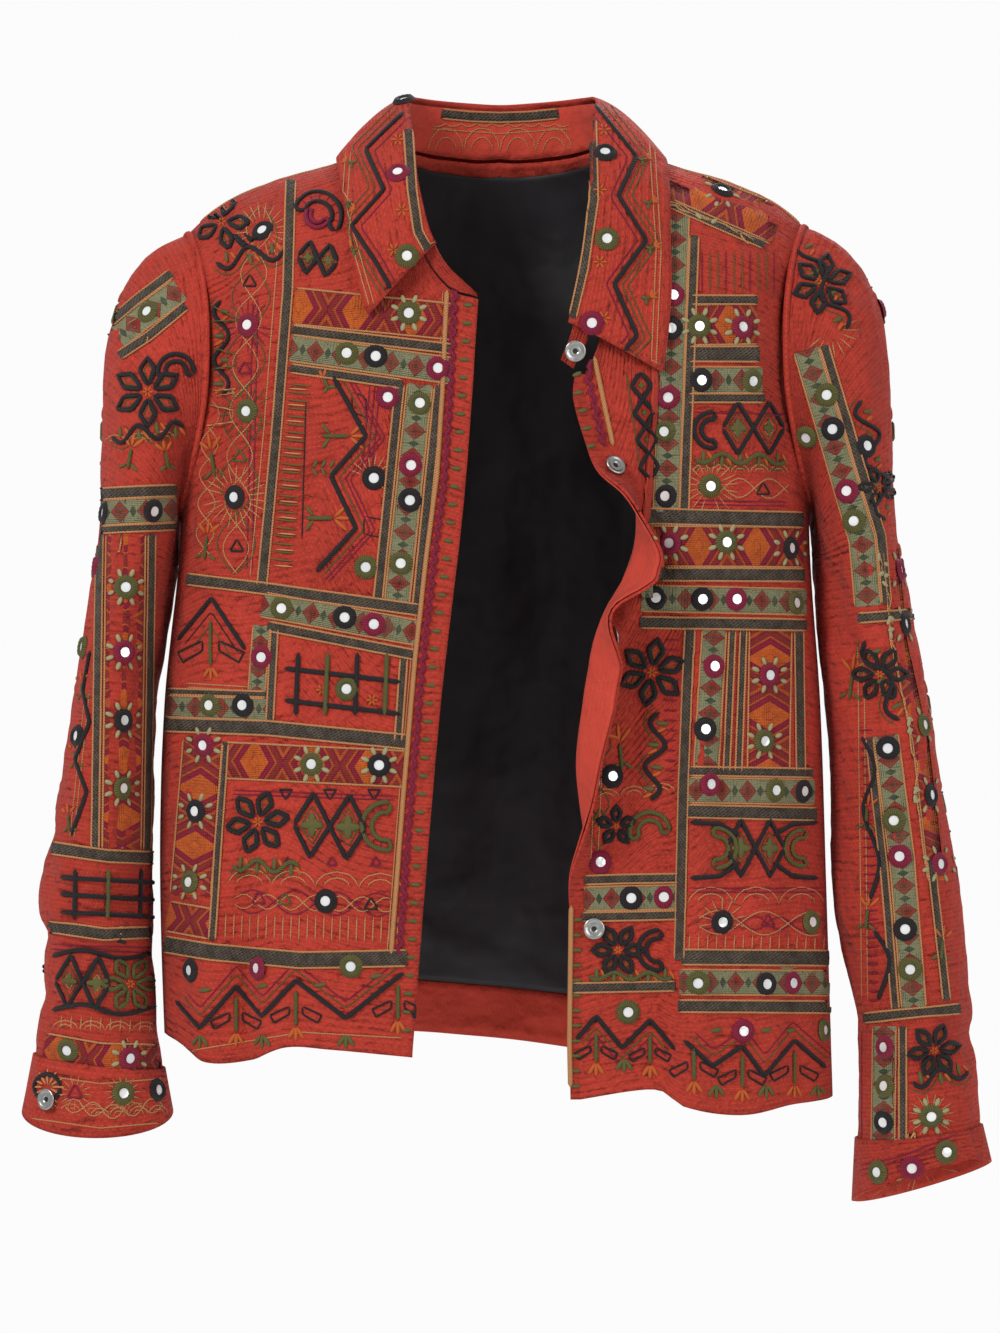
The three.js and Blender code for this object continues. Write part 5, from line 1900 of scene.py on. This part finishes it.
def stitch_left_front():
    w = Work("front_panel_left")
    w.strips(
        ("chevron", 40, 10, 666, 180, 778, 226),
        ("tape", 11, 0, 668, 157, 790, 206),
        ("tape", 11, 0, 670, 204, 764, 245),
        ("sage", 26, 12, 676, 215, 666, 512),
        ("tape", 11, 0, 694, 236, 684, 512),
        ("tape", 11, 0, 690, 300, 757, 300),
        ("chevron", 40, 10, 690, 325, 757, 324),
        ("tape", 19, 0, 688, 354, 759, 354),
        ("sage", 26, 15, 688, 380, 762, 380),
        ("tape", 11, 0, 687, 398, 764, 398),
        ("tape", 19, 0, 648, 516, 803, 520),
        ("chevron", 40, 25, 645, 546, 803, 547),
        ("tape", 16, 0, 643, 574, 804, 575),
        ("sage", 26, 6, 641, 598, 806, 602),
        ("tape", 14, 0, 640, 622, 806, 625),
        ("tape", 12, 0, 690, 628, 684, 790, 680, 960),
        ("sage", 24, 20, 714, 630, 706, 772),
        ("tape", 8, 0, 732, 630, 726, 772),
        ("tape", 8, 0, 743, 630, 738, 772),
        ("chevron", 42, 0, 770, 630, 768, 772),
        ("tape", 11, 0, 798, 630, 800, 772),
        ("tape", 11, 0, 690, 771, 812, 773),
        ("sage", 25, 20, 689, 790, 814, 792),
        ("tape", 16, 0, 687, 811, 816, 814),
        ("tape", 19, 0, 682, 957, 828, 958),
        ("sage", 25, 17, 680, 982, 829, 983),
        ("tape", 15, 0, 679, 1006, 830, 1007),
        ("sage", 24, 15, 584, 899, 679, 897),
        ("tape", 11, 0, 584, 880, 679, 878),
        ("tape", 11, 0, 582, 917, 679, 915),
        ("tape", 12, 0, 572, 988, 676, 986),
    )

    w.rings(
        crimson=((673, 295), (668, 397), (736, 599), (714, 666), (710, 784), (600, 862)),
        black=((671, 328), (701, 380), (666, 496), (656, 598), (702, 599), (705, 729), (803, 791)),
        olive=((752, 381), (665, 431), (710, 486), (795, 603), (775, 790), (811, 922), (698, 983)),
    )
    w.rings(
        True,
        black=((722, 191), (790, 548)),
        olive=((699, 326), (726, 542), (764, 741)),
        crimson=((742, 327), (670, 543), (769, 675)),
    )
    w.rings(
        black=((612, 776), (631, 898), (722, 922), (766, 984)),
        crimson=((792, 983), (743, 1031), (664, 897)),
        olive=((628, 1012), (823, 1030)),
    )
    for colour, x, y in (("black", 763, 490), ("crimson", 768, 922), ("olive", 600, 816)):
        w.triangle(colour, x, y)

    # Stitched rows on the shoulder panel
    for n in range(10):
        w.thread("olive" if n % 3 else "crimson", ((702 + 8 * n, 250), (702 + 8 * n, 294)))

    # Couched panels
    w.lozenges(722, 428, 784, 428, 26)
    w.crescent("black", 712, 430, 18, 180)
    w.vine(694, 458, 786, 460, 5, 5, "olive")
    w.scallops(692, 474, 788, 474, 5)
    w.fan("edge", 710, 486, 30, 90, 320, 18)
    w.rows("crimson", ((692, 500), (790, 502)), (0, 4, -88))
    w.lozenges(726, 848, 784, 848, 28)
    w.crescent("olive", 716, 848, 20, 0)
    w.crescent("olive", 802, 848, 18, 180)
    for far, near, end in ((690, 720, 740), (818, 792, 772)):
        w.cord("black", ((far, 822), (near, 824), (end, 836)))
        w.cord("black", ((far, 878), (near, 876), (end, 862)))
    w.scallops(688, 904, 824, 904, 3, depth=17)
    w.pillars(690, 932, 824, 934, 20, 16)
    w.rows("crimson", ((688, 888), (824, 888)), (0, 4))
    w.fan("edge", 722, 922, 26, 90, 200, 9)
    w.zigzag(
        ((684, 1040), (712, 1066), (742, 1046), (764, 1076), (794, 1040), (826, 1068)),
        beside_it=(("olive", -8), ("crimson", -13)),
    )
    for x, y in ((694, 1046), (742, 1054), (794, 1050)):
        w.arrow(x, y, 34)
    for x in (716, 766, 818):
        w.tuft(x, 1084)
    for x in (716, 766, 790):
        w.leaf("olive", x, 1030, 10, 14, 5)

    # Thin threads that link the mirrors
    w.web("edge", ((694, 922), (822, 924)), 12, 46)
    w.web("crimson", ((694, 922), (822, 924)), 7, 24)
    w.web("edge", ((694, 487), (790, 489)), 10, 30)
    w.web("olive", ((604, 700), (598, 872)), 9, 30)

    # The part that lies back beside the opening
    w.flower("black", 652, 672, 34, 6, 20)
    w.vine(660, 712, 650, 800, 9, 4)
    w.crescent("olive", 650, 832, 20, 100)
    w.flower("black", 616, 826, 20, 5, 90)
    w.sprig(622, 770, 96, 44)
    w.bars("crimson", ((672, 640), (670, 780)), 10, 16, 1.8)
    w.scallops(592, 800, 676, 792, 3)
    w.rows("edge", ((596, 740), (590, 870)), (0, -7))
    w.flower("black", 618, 950, 26, 6, 0)
    w.crescent("black", 658, 950, 20, 180)
    w.vine(588, 976, 674, 976, 4, 5, "olive")
    w.zigzag(
        ((576, 1040), (596, 1016), (622, 1048), (650, 1020), (676, 1050)),
        beside_it=(("olive", 7), ("crimson", 12)),
    )
    w.arrow(596, 1032, 30)
    w.arrow(650, 1034, 30)
    w.tuft(624, 1058)
    w.cord("edge", ((571, 905), (569, 1088)))
    w.bars("olive", ((577, 920), (575, 1086)), 15, 12, 4)

    # The strip beside the opening, above the roll
    w.cord("edge", ((594, 356), (613, 446)))
    w.wobble(((583, 356), (604, 446)))
    w.bars("olive", ((574, 375), (591, 446)), 18, 10, 4.6)
    w.diamonds(640, 372, 650, 480, 4, 10)
    w.rows("olive", ((626, 372), (640, 470)), (0,))


def stitch_collar():
    w = Work("leaf_cloth")
    w.zigzag(
        ((594, 104), (636, 157), (618, 196), (646, 240), (614, 284), (637, 336), (622, 352)),
        beside_it=(("olive", -7), ("olive", -12), ("crimson", 7)),
    )
    for x, y in ((646, 162), (652, 205), (654, 250), (650, 300)):
        w.sprig(x - 6, y, 30, 12)
    for x, y in ((604, 130), (600, 190), (600, 262), (604, 318)):
        w.star("orange", x, y, 7, 6)
    w.strip("tape", 11, ((592, 120), (594, 200), (584, 268), (572, 318)), lift=0.2)
    w.rows("edge", ((656, 140), (663, 250), (658, 366)), (2, 7))
    w.rings(black=((605, 153),), olive=((607, 239),), crimson=((592, 323),))
    w.zigzag(
        ((404, 112), (366, 150), (384, 190), (352, 226), (376, 262), (392, 290)),
        beside_it=(("olive", 7), ("olive", 12), ("crimson", -7)),
    )
    for x, y in ((350, 165), (346, 205), (352, 252)):
        w.sprig(x + 4, y, 150, 12)
    for x, y in ((398, 140), (402, 210), (394, 250)):
        w.star("orange", x, y, 7, 6)
    w.strip("tape", 11, ((408, 130), (412, 190), (418, 232), (428, 250)), lift=0.2)
    w.rows("edge", ((342, 150), (338, 210), (366, 308)), (-4, -9))
    w.rings(crimson=((398, 173),), olive=((407, 256),), black=((404, 101),))

    inside = Work("stand_cloth", inside=CLOTH)
    inside.strip("tape", 12, ((440, 114), (470, 117), (500, 118), (530, 117), (560, 114)))
    inside.thread("edge", [(428 + 8 * n, 124 + (4 if n % 2 else 0)) for n in range(19)])
    inside.scallops(426, 152, 574, 152, 4, 24)
    inside.rows("edge", ((428, 129), (500, 134), (572, 129)), (0,))
    for n in range(4):
        inside.fan("edge", 444 + 37 * n, 151, 13, 10, 170, 7)
        inside.fan("olive", 444 + 37 * n, 151, 8, 20, 160, 5)


def stitch_right_sleeve():
    w = Work("sleeve_cloth_right")
    w.strips(
        ("sage", 24, 8, 118, 338, 142, 318, 180, 290),
        ("tape", 11, 0, 112, 322, 140, 298, 172, 274),
        ("tape", 11, 0, 120, 356, 150, 336, 186, 306),
        ("tape", 14, 0, 98, 494, 176, 490),
        ("sage", 25, 10, 98, 513, 176, 509),
        ("tape", 9, 0, 98, 530, 176, 526),
        ("chevron", 38, 26, 126, 534, 121, 850),
        ("tape", 9, 0, 101, 534, 95, 850),
        ("tape", 9, 0, 151, 534, 146, 850),
        ("tape", 15, 0, 52, 848, 108, 856, 160, 858),
        ("tape", 14, 0, 48, 926, 104, 934, 158, 932),
        ("chevron", 34, 44, 44, 1050, 100, 1060, 168, 1062),
    )
    w.rings(
        True,
        olive=((126, 587), (122, 788)),
        black=((123, 720),),
        crimson=((124, 652), (129, 1058)),
    )
    w.rings(
        black=((105, 513), (153, 511), (78, 736)),
        olive=((148, 312), (84, 647), (68, 1050)),
        crimson=((97, 567),),
    )
    w.weave_patch(60, 868, 156, 920, 3, 3, 6)
    w.flower("black", 148, 392, 34, 6, 30)
    w.vine(112, 436, 184, 428, 8, 4)
    w.crescent("black", 176, 372, 18, 90)
    w.sprig(128, 470, 80, 36)
    w.sprig(168, 470, 100, 30)
    w.fan("edge", 148, 312, 26, 270, 160, 9)
    w.scallops(104, 446, 176, 440, 3)
    for y in (700, 768, 832):
        w.sprig(154 - y * 0.1, y, 96, 28)
    w.rows("edge", ((90, 690), (74, 840)), (0, 4))
    w.cord("black", ((91, 650), (84, 690), (90, 722), (76, 760), (87, 792), (72, 836)))
    w.lozenges(56, 980, 110, 984, 26)
    w.flower("olive", 130, 984, 28, 6, 0)
    w.cord("black", smooth_path(((52, 1010), (84, 1004), (120, 1014), (156, 1006))))
    w.cord("black", smooth_path(((52, 956), (84, 950), (120, 958), (156, 952))))
    w.pillars(62, 1014, 150, 1018, 16, 10)
    w.scallops(52, 1030, 158, 1032, 4)
    w.rows("crimson", ((50, 944), (156, 948)), (0, 5))

    cuff = Work("cuff_cloth_right")
    cuff.rings(olive=((123, 1093),), black=((157, 1090),))
    cuff.triangle("crimson", 75, 1093, 9)
    cuff.star("edge", 48, 1087, 17, 12)
    circle = [polar(48, 1087, 13, -45 * k) for k in range(8)]
    cuff.cord("black", smooth_path(circle, closed=True))
    cuff.scallops(90, 1118, 168, 1114, 4)
    cuff.web("edge", ((64, 1104), (110, 1112), (164, 1104)), 8, 20)
    cuff.fan("edge", 75, 1093, 18, 90, 360, 14)
    cuff.fan("edge", 123, 1093, 19, 90, 360, 16)
    cuff.rows("edge", ((30, 1118), (100, 1128), (168, 1122)), (0, -44))


def stitch_left_sleeve():
    w = Work("sleeve_cloth_left")
    w.strips(
        ("sage", 25, 12, 806, 350, 830, 430, 862, 540, 868, 606),
        ("tape", 11, 0, 824, 346, 848, 426, 880, 536, 886, 604),
        ("tape", 12, 0, 858, 618, 940, 612),
        ("chevron", 32, 20, 898, 548, 906, 640, 928, 740, 944, 880),
        ("sage", 24, 12, 886, 735, 902, 860, 914, 1008),
        ("tape", 9, 0, 870, 737, 884, 862, 896, 1010),
        ("tape", 9, 0, 930, 860, 946, 1000),
        ("tape", 12, 0, 864, 1018, 960, 1008),
        ("sage", 23, 20, 885, 1026, 883, 1180),
        ("tape", 9, 0, 903, 1026, 903, 1180),
    )
    w.rings(
        black=((833, 429), (866, 446), (888, 748), (905, 929), (884, 1122)),
        olive=((827, 395), (854, 521), (807, 437), (894, 820), (910, 969), (885, 1086)),
        crimson=((847, 491), (900, 856), (885, 1047)),
    )
    w.rings(
        True,
        crimson=((899, 570), (939, 864)),
        black=((904, 624), (930, 795)),
        olive=((923, 725), (931, 1116)),
    )
    w.flower("black", 822, 284, 30, 6, 20)
    w.vine(800, 236, 846, 330, 9, 4)
    w.fan("edge", 830, 330, 30, 300, 160, 9)
    w.vine(862, 400, 886, 520, 10, 5)
    w.flower("black", 878, 486, 20, 5, 40)
    w.sprig(850, 700, 84, 44)
    w.flower("black", 880, 674, 28, 6, 0)
    w.vine(866, 640, 900, 720, 9, 3)
    w.sprig(866, 830, 84, 36)
    w.sprig(866, 930, 84, 36)
    w.rows("edge", ((858, 640), (862, 1000)), (0, -6))
    w.sprig(940, 960, 84, 34)
    w.flower("black", 934, 1050, 26, 6, 10)
    w.vine(912, 1082, 968, 1070, 7, 3)
    w.rows("crimson", ((862, 1030), (862, 1160)), (0, 5))
    w.fan("edge", 931, 1116, 24, 90, 300, 14)
    w.bars("crimson", ((866, 730), (874, 1000)), 9, 16, 1.8)
    w.cord("black", smooth_path(((862, 736), (876, 770), (864, 810), (880, 860), (870, 900))))
    w.cord("black", smooth_path(((874, 930), (890, 960), (878, 1000))))

    cuff = Work("cuff_cloth_left")
    cuff.rings(olive=((946, 1152), (878, 1172)), crimson=((912, 1168),))
    cuff.rows("crimson", ((860, 1170), (900, 1162), (960, 1138)), (0, -5))
    cuff.scallops(866, 1210, 960, 1172, 4)


def outwards(side, near, far, y):
    """A level line on one side of the middle, away from it."""
    return (ORIGIN_X + side * near, y), (ORIGIN_X + side * far, y)


def stitch_back():
    """The back carries on the patchwork of the fronts: a yoke, a middle panel and side columns."""
    w = Work("back_panel", "back")
    w.strip("chevron", 40, ((262, 236), (500, 226), (738, 236)), 30)
    for y in (209, 263):
        w.tape(12, ((250, y), (500, y - 10), (750, y)))
    w.rings(True, olive=((330, 233), (610, 231)), crimson=((440, 228), (690, 234)))
    w.ring("black", 540, 227, True)
    for side in (-1, 1):
        x = 500 + side * 118
        w.strip("sage", 26, ((x, 268), (x + side * 6, 600), (x + side * 3, 930)), 10)
        for across in (-21, 21):
            path = ((x + across, 268), (x + side * 6 + across, 600), (x + side * 3 + across, 930))
            w.tape(10, path)
    for n, colour in enumerate(("black", "olive", "crimson", "olive", "black", "crimson", "olive")):
        w.ring(colour, 386 - n, 310 + 92 * n)
        w.ring(colour, 620 + n, 350 + 88 * n)
    w.tape(14, ((168, 952), (500, 956), (832, 952)))

    # Shoulders, seen from above
    top = Work("back_panel", "top")
    for side in (-1, 1):
        top.strip("sage", 26, outwards(side, 146, 304, 136), 8)
        for y in (114, 158):
            top.tape(11, outwards(side, 144, 306, y))
        for n, colour in enumerate(RING_ORDER[:3]):
            top.ring(colour, 500 + side * (172 + 52 * n), 136)
            top.sprig(500 + side * (180 + 46 * n), 106, 90, 24)
        top.rows("edge", outwards(side, 140, 306, 174), (0, 4))

    # Middle panel
    w.strip("chevron", 42, ((405, 560), (595, 562)), 12)
    for y in (533, 588):
        w.tape(12, ((404, y), (597, y + 2)))
    w.rings(True, black=((452, 561),), olive=((548, 562),))
    for sign, line in (
        (1, ((412, 300), (452, 350), (420, 400), (458, 450), (424, 520))),
        (-1, ((588, 300), (548, 350), (580, 400), (542, 450), (576, 520))),
    ):
        w.zigzag(line, beside_it=(("olive", 8 * sign), ("crimson", 13 * sign)))
    w.diamonds(500, 330, 504, 500, 4, 24)
    for y in (350, 400, 452):
        w.sprig(430, y + 14, 150, 26)
        w.sprig(570, y + 14, 30, 26)
    w.flower("black", 450, 658, 42, 6, 0)
    w.flower("black", 550, 658, 42, 6, 30)
    w.crescent("olive", 500, 640, 26, 90)
    w.sprig(500, 720, 90, 60)
    w.scallops(408, 760, 594, 760, 6)
    w.weave_patch(412, 790, 592, 900, 5, 3, 4)
    w.rings(crimson=((456, 846),), olive=((546, 846),))
    w.rows("crimson", ((408, 916), (594, 918)), (0, 6, 12))

    # Side columns, the two unlike in their order
    for side, order in ((-1, 0), (1, 1)):
        inner, outer = 500 + side * 150, 500 + side * 312
        middle = (inner + outer) / 2
        top = 300 if order else 330
        w.strip("sage", 26, ((inner, top), (outer, top + 6)), 8 + 6 * order)
        w.tape(12, ((inner, top + 22), (outer, top + 28)))
        w.rings(black=((middle - 30, top + 2),), crimson=((middle + 26, top + 4),))
        w.flower("black", middle - 34, top + 82, 38, 6, 20 * side)
        w.sprig(middle + 40, top + 116, 90, 54)
        w.fan("edge", middle + 34, top + 70, 30, 90, 330, 18)
        w.strip("chevron", 42, ((inner, top + 164), (outer, top + 166)), 20)
        for y in (top + 138, top + 192):
            w.tape(12, ((inner, y), (outer, y + 2)))
        w.rings(True, olive=((middle - 40, top + 164),), crimson=((middle + 38, top + 165),))
        w.zigzag(
            [(middle - 60 + 30 * n, top + (216 if n % 2 else 258)) for n in range(5)],
            beside_it=(("olive", 8), ("crimson", 13)),
        )
        for n in (0, 2):
            w.sprig(middle - 28 + 30 * n, top + 292, 90, 32)
        w.strip("sage", 26, ((inner, top + 312), (outer, top + 310)), 4)
        w.tape(12, ((inner, top + 334), (outer, top + 332)))
        w.rings(olive=((middle - 10, top + 311),), black=((middle + 44, top + 310),))
        w.weave_patch(middle - 66, top + 352, middle + 6, top + 440, 3, 3, 4)
        w.diamonds(middle + 40, top + 350, middle + 42, top + 440, 3, 18)
        w.strip("chevron", 40, ((inner, top + 470), (outer, top + 468)), 0)
        w.tape(12, ((inner, top + 447), (outer, top + 445)))
        w.rings(True, black=((middle + 4, top + 470),))
        w.lozenges(middle - 66, top + 536, middle + 20, top + 536, 32)
        w.crescent("olive", middle + 44, top + 536, 28, 180)
        w.scallops(middle - 66, top + 590, middle + 66, top + 590, 5)
        w.rows("crimson", ((inner, top + 604), (outer, top + 604)), (0, 6))
    w.zigzag(
        [(182 + 46 * n, 1006 if n % 2 else 976) for n in range(14)],
        beside_it=(("olive", 8), ("crimson", 13)),
    )
    for n in range(6):
        w.sprig(228 + 92 * n, 1040, 90, 30)
        w.star("orange", 274 + 92 * n, 1022, 8, 6)

    w = Work("leaf_cloth", "back")
    w.zigzag(
        [(398 + 34 * n, 100 if n % 2 else 130) for n in range(7)],
        beside_it=(("olive", 6), ("crimson", -6)),
    )
    w.rings(crimson=((432, 100),), olive=((568, 100),))
    w.rows("edge", ((386, 142), (500, 146), (614, 142)), (0,))
    for n in range(4):
        w.star("orange", 424 + 50 * n, 138, 6, 6)


def stitch_sleeve_hidden(cloth_name, cuff_name, view, away, shift):
    """The outer side of a sleeve, whose back half lies away in that view, and then its back."""
    w = Work(cloth_name, view)
    x = 500 + away * 44
    path = ((x, 236), (x + away * 6, 500), (x + away * 8, 840))
    w.strip("sage", 26, path, 9 + shift)
    for across in (-22, 22):
        w.tape(10, [(a + across, b) for a, b in path])
    for n, colour in enumerate(RING_ORDER * 2):
        w.ring(colour, x + away * n * 1.5, 286 + 100 * n)
    for y in (300, 420, 560, 700, 800):
        w.sprig(500 + away * 6, y + 16, 90, 34)
        w.fan("edge", 500 + away * 84, y - 20, 24, 90, 300, 12)

    w = Work(cloth_name, "back")
    side = 1 if view == "left" else -1
    middle = 500 - side * 384
    lean = -side * 0.10

    def at(across, y):
        return middle + across + (y - 400) * lean, y

    for n, y in enumerate((300, 470, 640, 810)):
        kind, wide = ("chevron", 40) if (n + shift) % 2 else ("sage", 26)
        w.strip(kind, wide, (at(-54, y), at(54, y + 3)), 14 * n)
        for gap in (-1, 1):
            edge = y + gap * (wide / 2 + 7)
            w.tape(11, (at(-56, edge), at(56, edge + 3)))
        w.ring("black" if n % 2 else "crimson", *at(-14, y + 1), petals=kind == "chevron")
        w.ring("olive", *at(22, y + 2), petals=kind == "chevron")
    w.flower("black", *at(-14, 388), 32, 6, 0)
    w.sprig(*at(32, 410), 90, 40)
    w.diamonds(*at(-22, 520), *at(-22, 600), 2, 16)
    w.sprig(*at(24, 600), 90, 50)
    w.zigzag([at(-36 + 24 * n, 700 if n % 2 else 740) for n in range(4)])
    w.sprig(*at(-12, 790), 90, 36)
    w.weave_patch(*at(-34, 850), *at(34, 910), 3, 2, 2)
    w.flower("black", *at(-4, 975), 30, 6, 0)
    w.sprig(*at(-28, 240), 80, 34)
    w.scallops(*at(-38, 450), *at(38, 450), 3)

    cuff = Work(cuff_name, "back")
    y = 1092 if view == "right" else 1140
    x = 500 + (410 if view == "right" else -430)
    cuff.rings(crimson=((x - 40, y),), olive=((x, y),), black=((x + 40, y),))
    cuff.scallops(x - 56, y + 24, x + 56, y + 24, 5)


SEAM_SPOTS, SEAM_SIDES = 96, 10
SEAM_WIDE, SEAM_TALL = 2.6, 2.2


def stitch_seams():
    """Turned, corded seams round the armholes."""
    batch = Batch("armhole_seams", finish("ground"), "embroidered_cotton")
    for side in (-1, 1):
        spots = []
        for n in range(SEAM_SPOTS):
            around = n / SEAM_SPOTS
            spot = armhole_spot(side, around)
            normal = torso_normal(spot)
            spots.append((bare_torso(spot) + Vector((side * 0.8, 0, 0)) - normal * 0.6, normal))
        count = len(spots)
        rings = []
        for n, (point, normal) in enumerate(spots):
            way = (spots[(n + 1) % count][0] - spots[n - 1][0]).normalized()
            across = way.cross(normal).normalized()
            out = across.cross(way)
            turns = [k * math.tau / SEAM_SIDES for k in range(SEAM_SIDES)]
            wide, tall = across * SEAM_WIDE, out * SEAM_TALL
            rings.append([(point + wide * math.cos(a) + tall * math.sin(a)) * MM for a in turns])
        batch.grid(
            count,
            SEAM_SIDES,
            lambda i, j: rings[i % count][j % SEAM_SIDES],
            lambda i, j: (i * 0.008, j * 0.0014),
        )
    batch.finish()


def finish_stitches():
    for name in sorted(Work.batches):
        Work.batches[name].finish()
    Work.batches.clear()


# ---- operators


class JACKET_OT_shell(bpy.types.Operator):
    """Sew the fronts, back, sleeves, cuffs and collar"""

    bl_idname = "jacket.shell"
    bl_label = "Shell"

    def execute(self, context):
        build_shell()
        stitch_seams()
        return {"FINISHED"}


class JACKET_OT_inside(bpy.types.Operator):
    """Hang the back lining and sew in the facings"""

    bl_idname = "jacket.inside"
    bl_label = "Lining and facings"

    def execute(self, context):
        build_inside()
        return {"FINISHED"}


class JACKET_OT_buttons(bpy.types.Operator):
    """Fix the metal buttons"""

    bl_idname = "jacket.buttons"
    bl_label = "Buttons"

    def execute(self, context):
        build_buttons()
        return {"FINISHED"}


class JACKET_OT_embroidery(bpy.types.Operator):
    """Lay the bands, tapes, cords, leaves and mirrors"""

    bl_idname = "jacket.embroidery"
    bl_label = "Embroidery"

    def execute(self, context):
        if "front_panel_right" not in TREES:
            raise RuntimeError("the shell is sewn before its embroidery is laid")
        stitch_right_front()
        stitch_left_front()
        stitch_collar()
        stitch_right_sleeve()
        stitch_left_sleeve()
        stitch_back()
        stitch_sleeve_hidden("sleeve_cloth_right", "cuff_cloth_right", "right", -1, 0)
        stitch_sleeve_hidden("sleeve_cloth_left", "cuff_cloth_left", "left", 1, 1)
        finish_stitches()
        return {"FINISHED"}


class JACKET_OT_stage(bpy.types.Operator):
    """Set the floor, lights and camera"""

    bl_idname = "jacket.stage"
    bl_label = "Stage"

    def execute(self, context):
        build_stage()
        return {"FINISHED"}


OPERATORS = (
    JACKET_OT_shell,
    JACKET_OT_inside,
    JACKET_OT_buttons,
    JACKET_OT_embroidery,
    JACKET_OT_stage,
)


class JACKET_PT_panel(bpy.types.Panel):
    """Lists the steps that build the jacket"""

    bl_label = "Jacket"
    bl_idname = "JACKET_PT_panel"
    bl_space_type = "VIEW_3D"
    bl_region_type = "UI"
    bl_category = "Jacket"

    def draw(self, context):
        for key in JacketSettings.__annotations__:
            self.layout.prop(context.scene.jacket, key)
        for operator in OPERATORS:
            self.layout.operator(operator.bl_idname)


CLASSES = (JacketSettings, *OPERATORS, JACKET_PT_panel)


def register():
    for cls in CLASSES:
        bpy.utils.register_class(cls)
    bpy.types.Scene.jacket = PointerProperty(type=JacketSettings)


def unregister():
    del bpy.types.Scene.jacket
    for cls in reversed(CLASSES):
        bpy.utils.unregister_class(cls)


def main():
    register()
    bpy.ops.jacket.shell()
    bpy.ops.jacket.inside()
    bpy.ops.jacket.buttons()
    bpy.ops.jacket.embroidery()
    bpy.ops.jacket.stage()


if __name__ == "__main__":
    main()
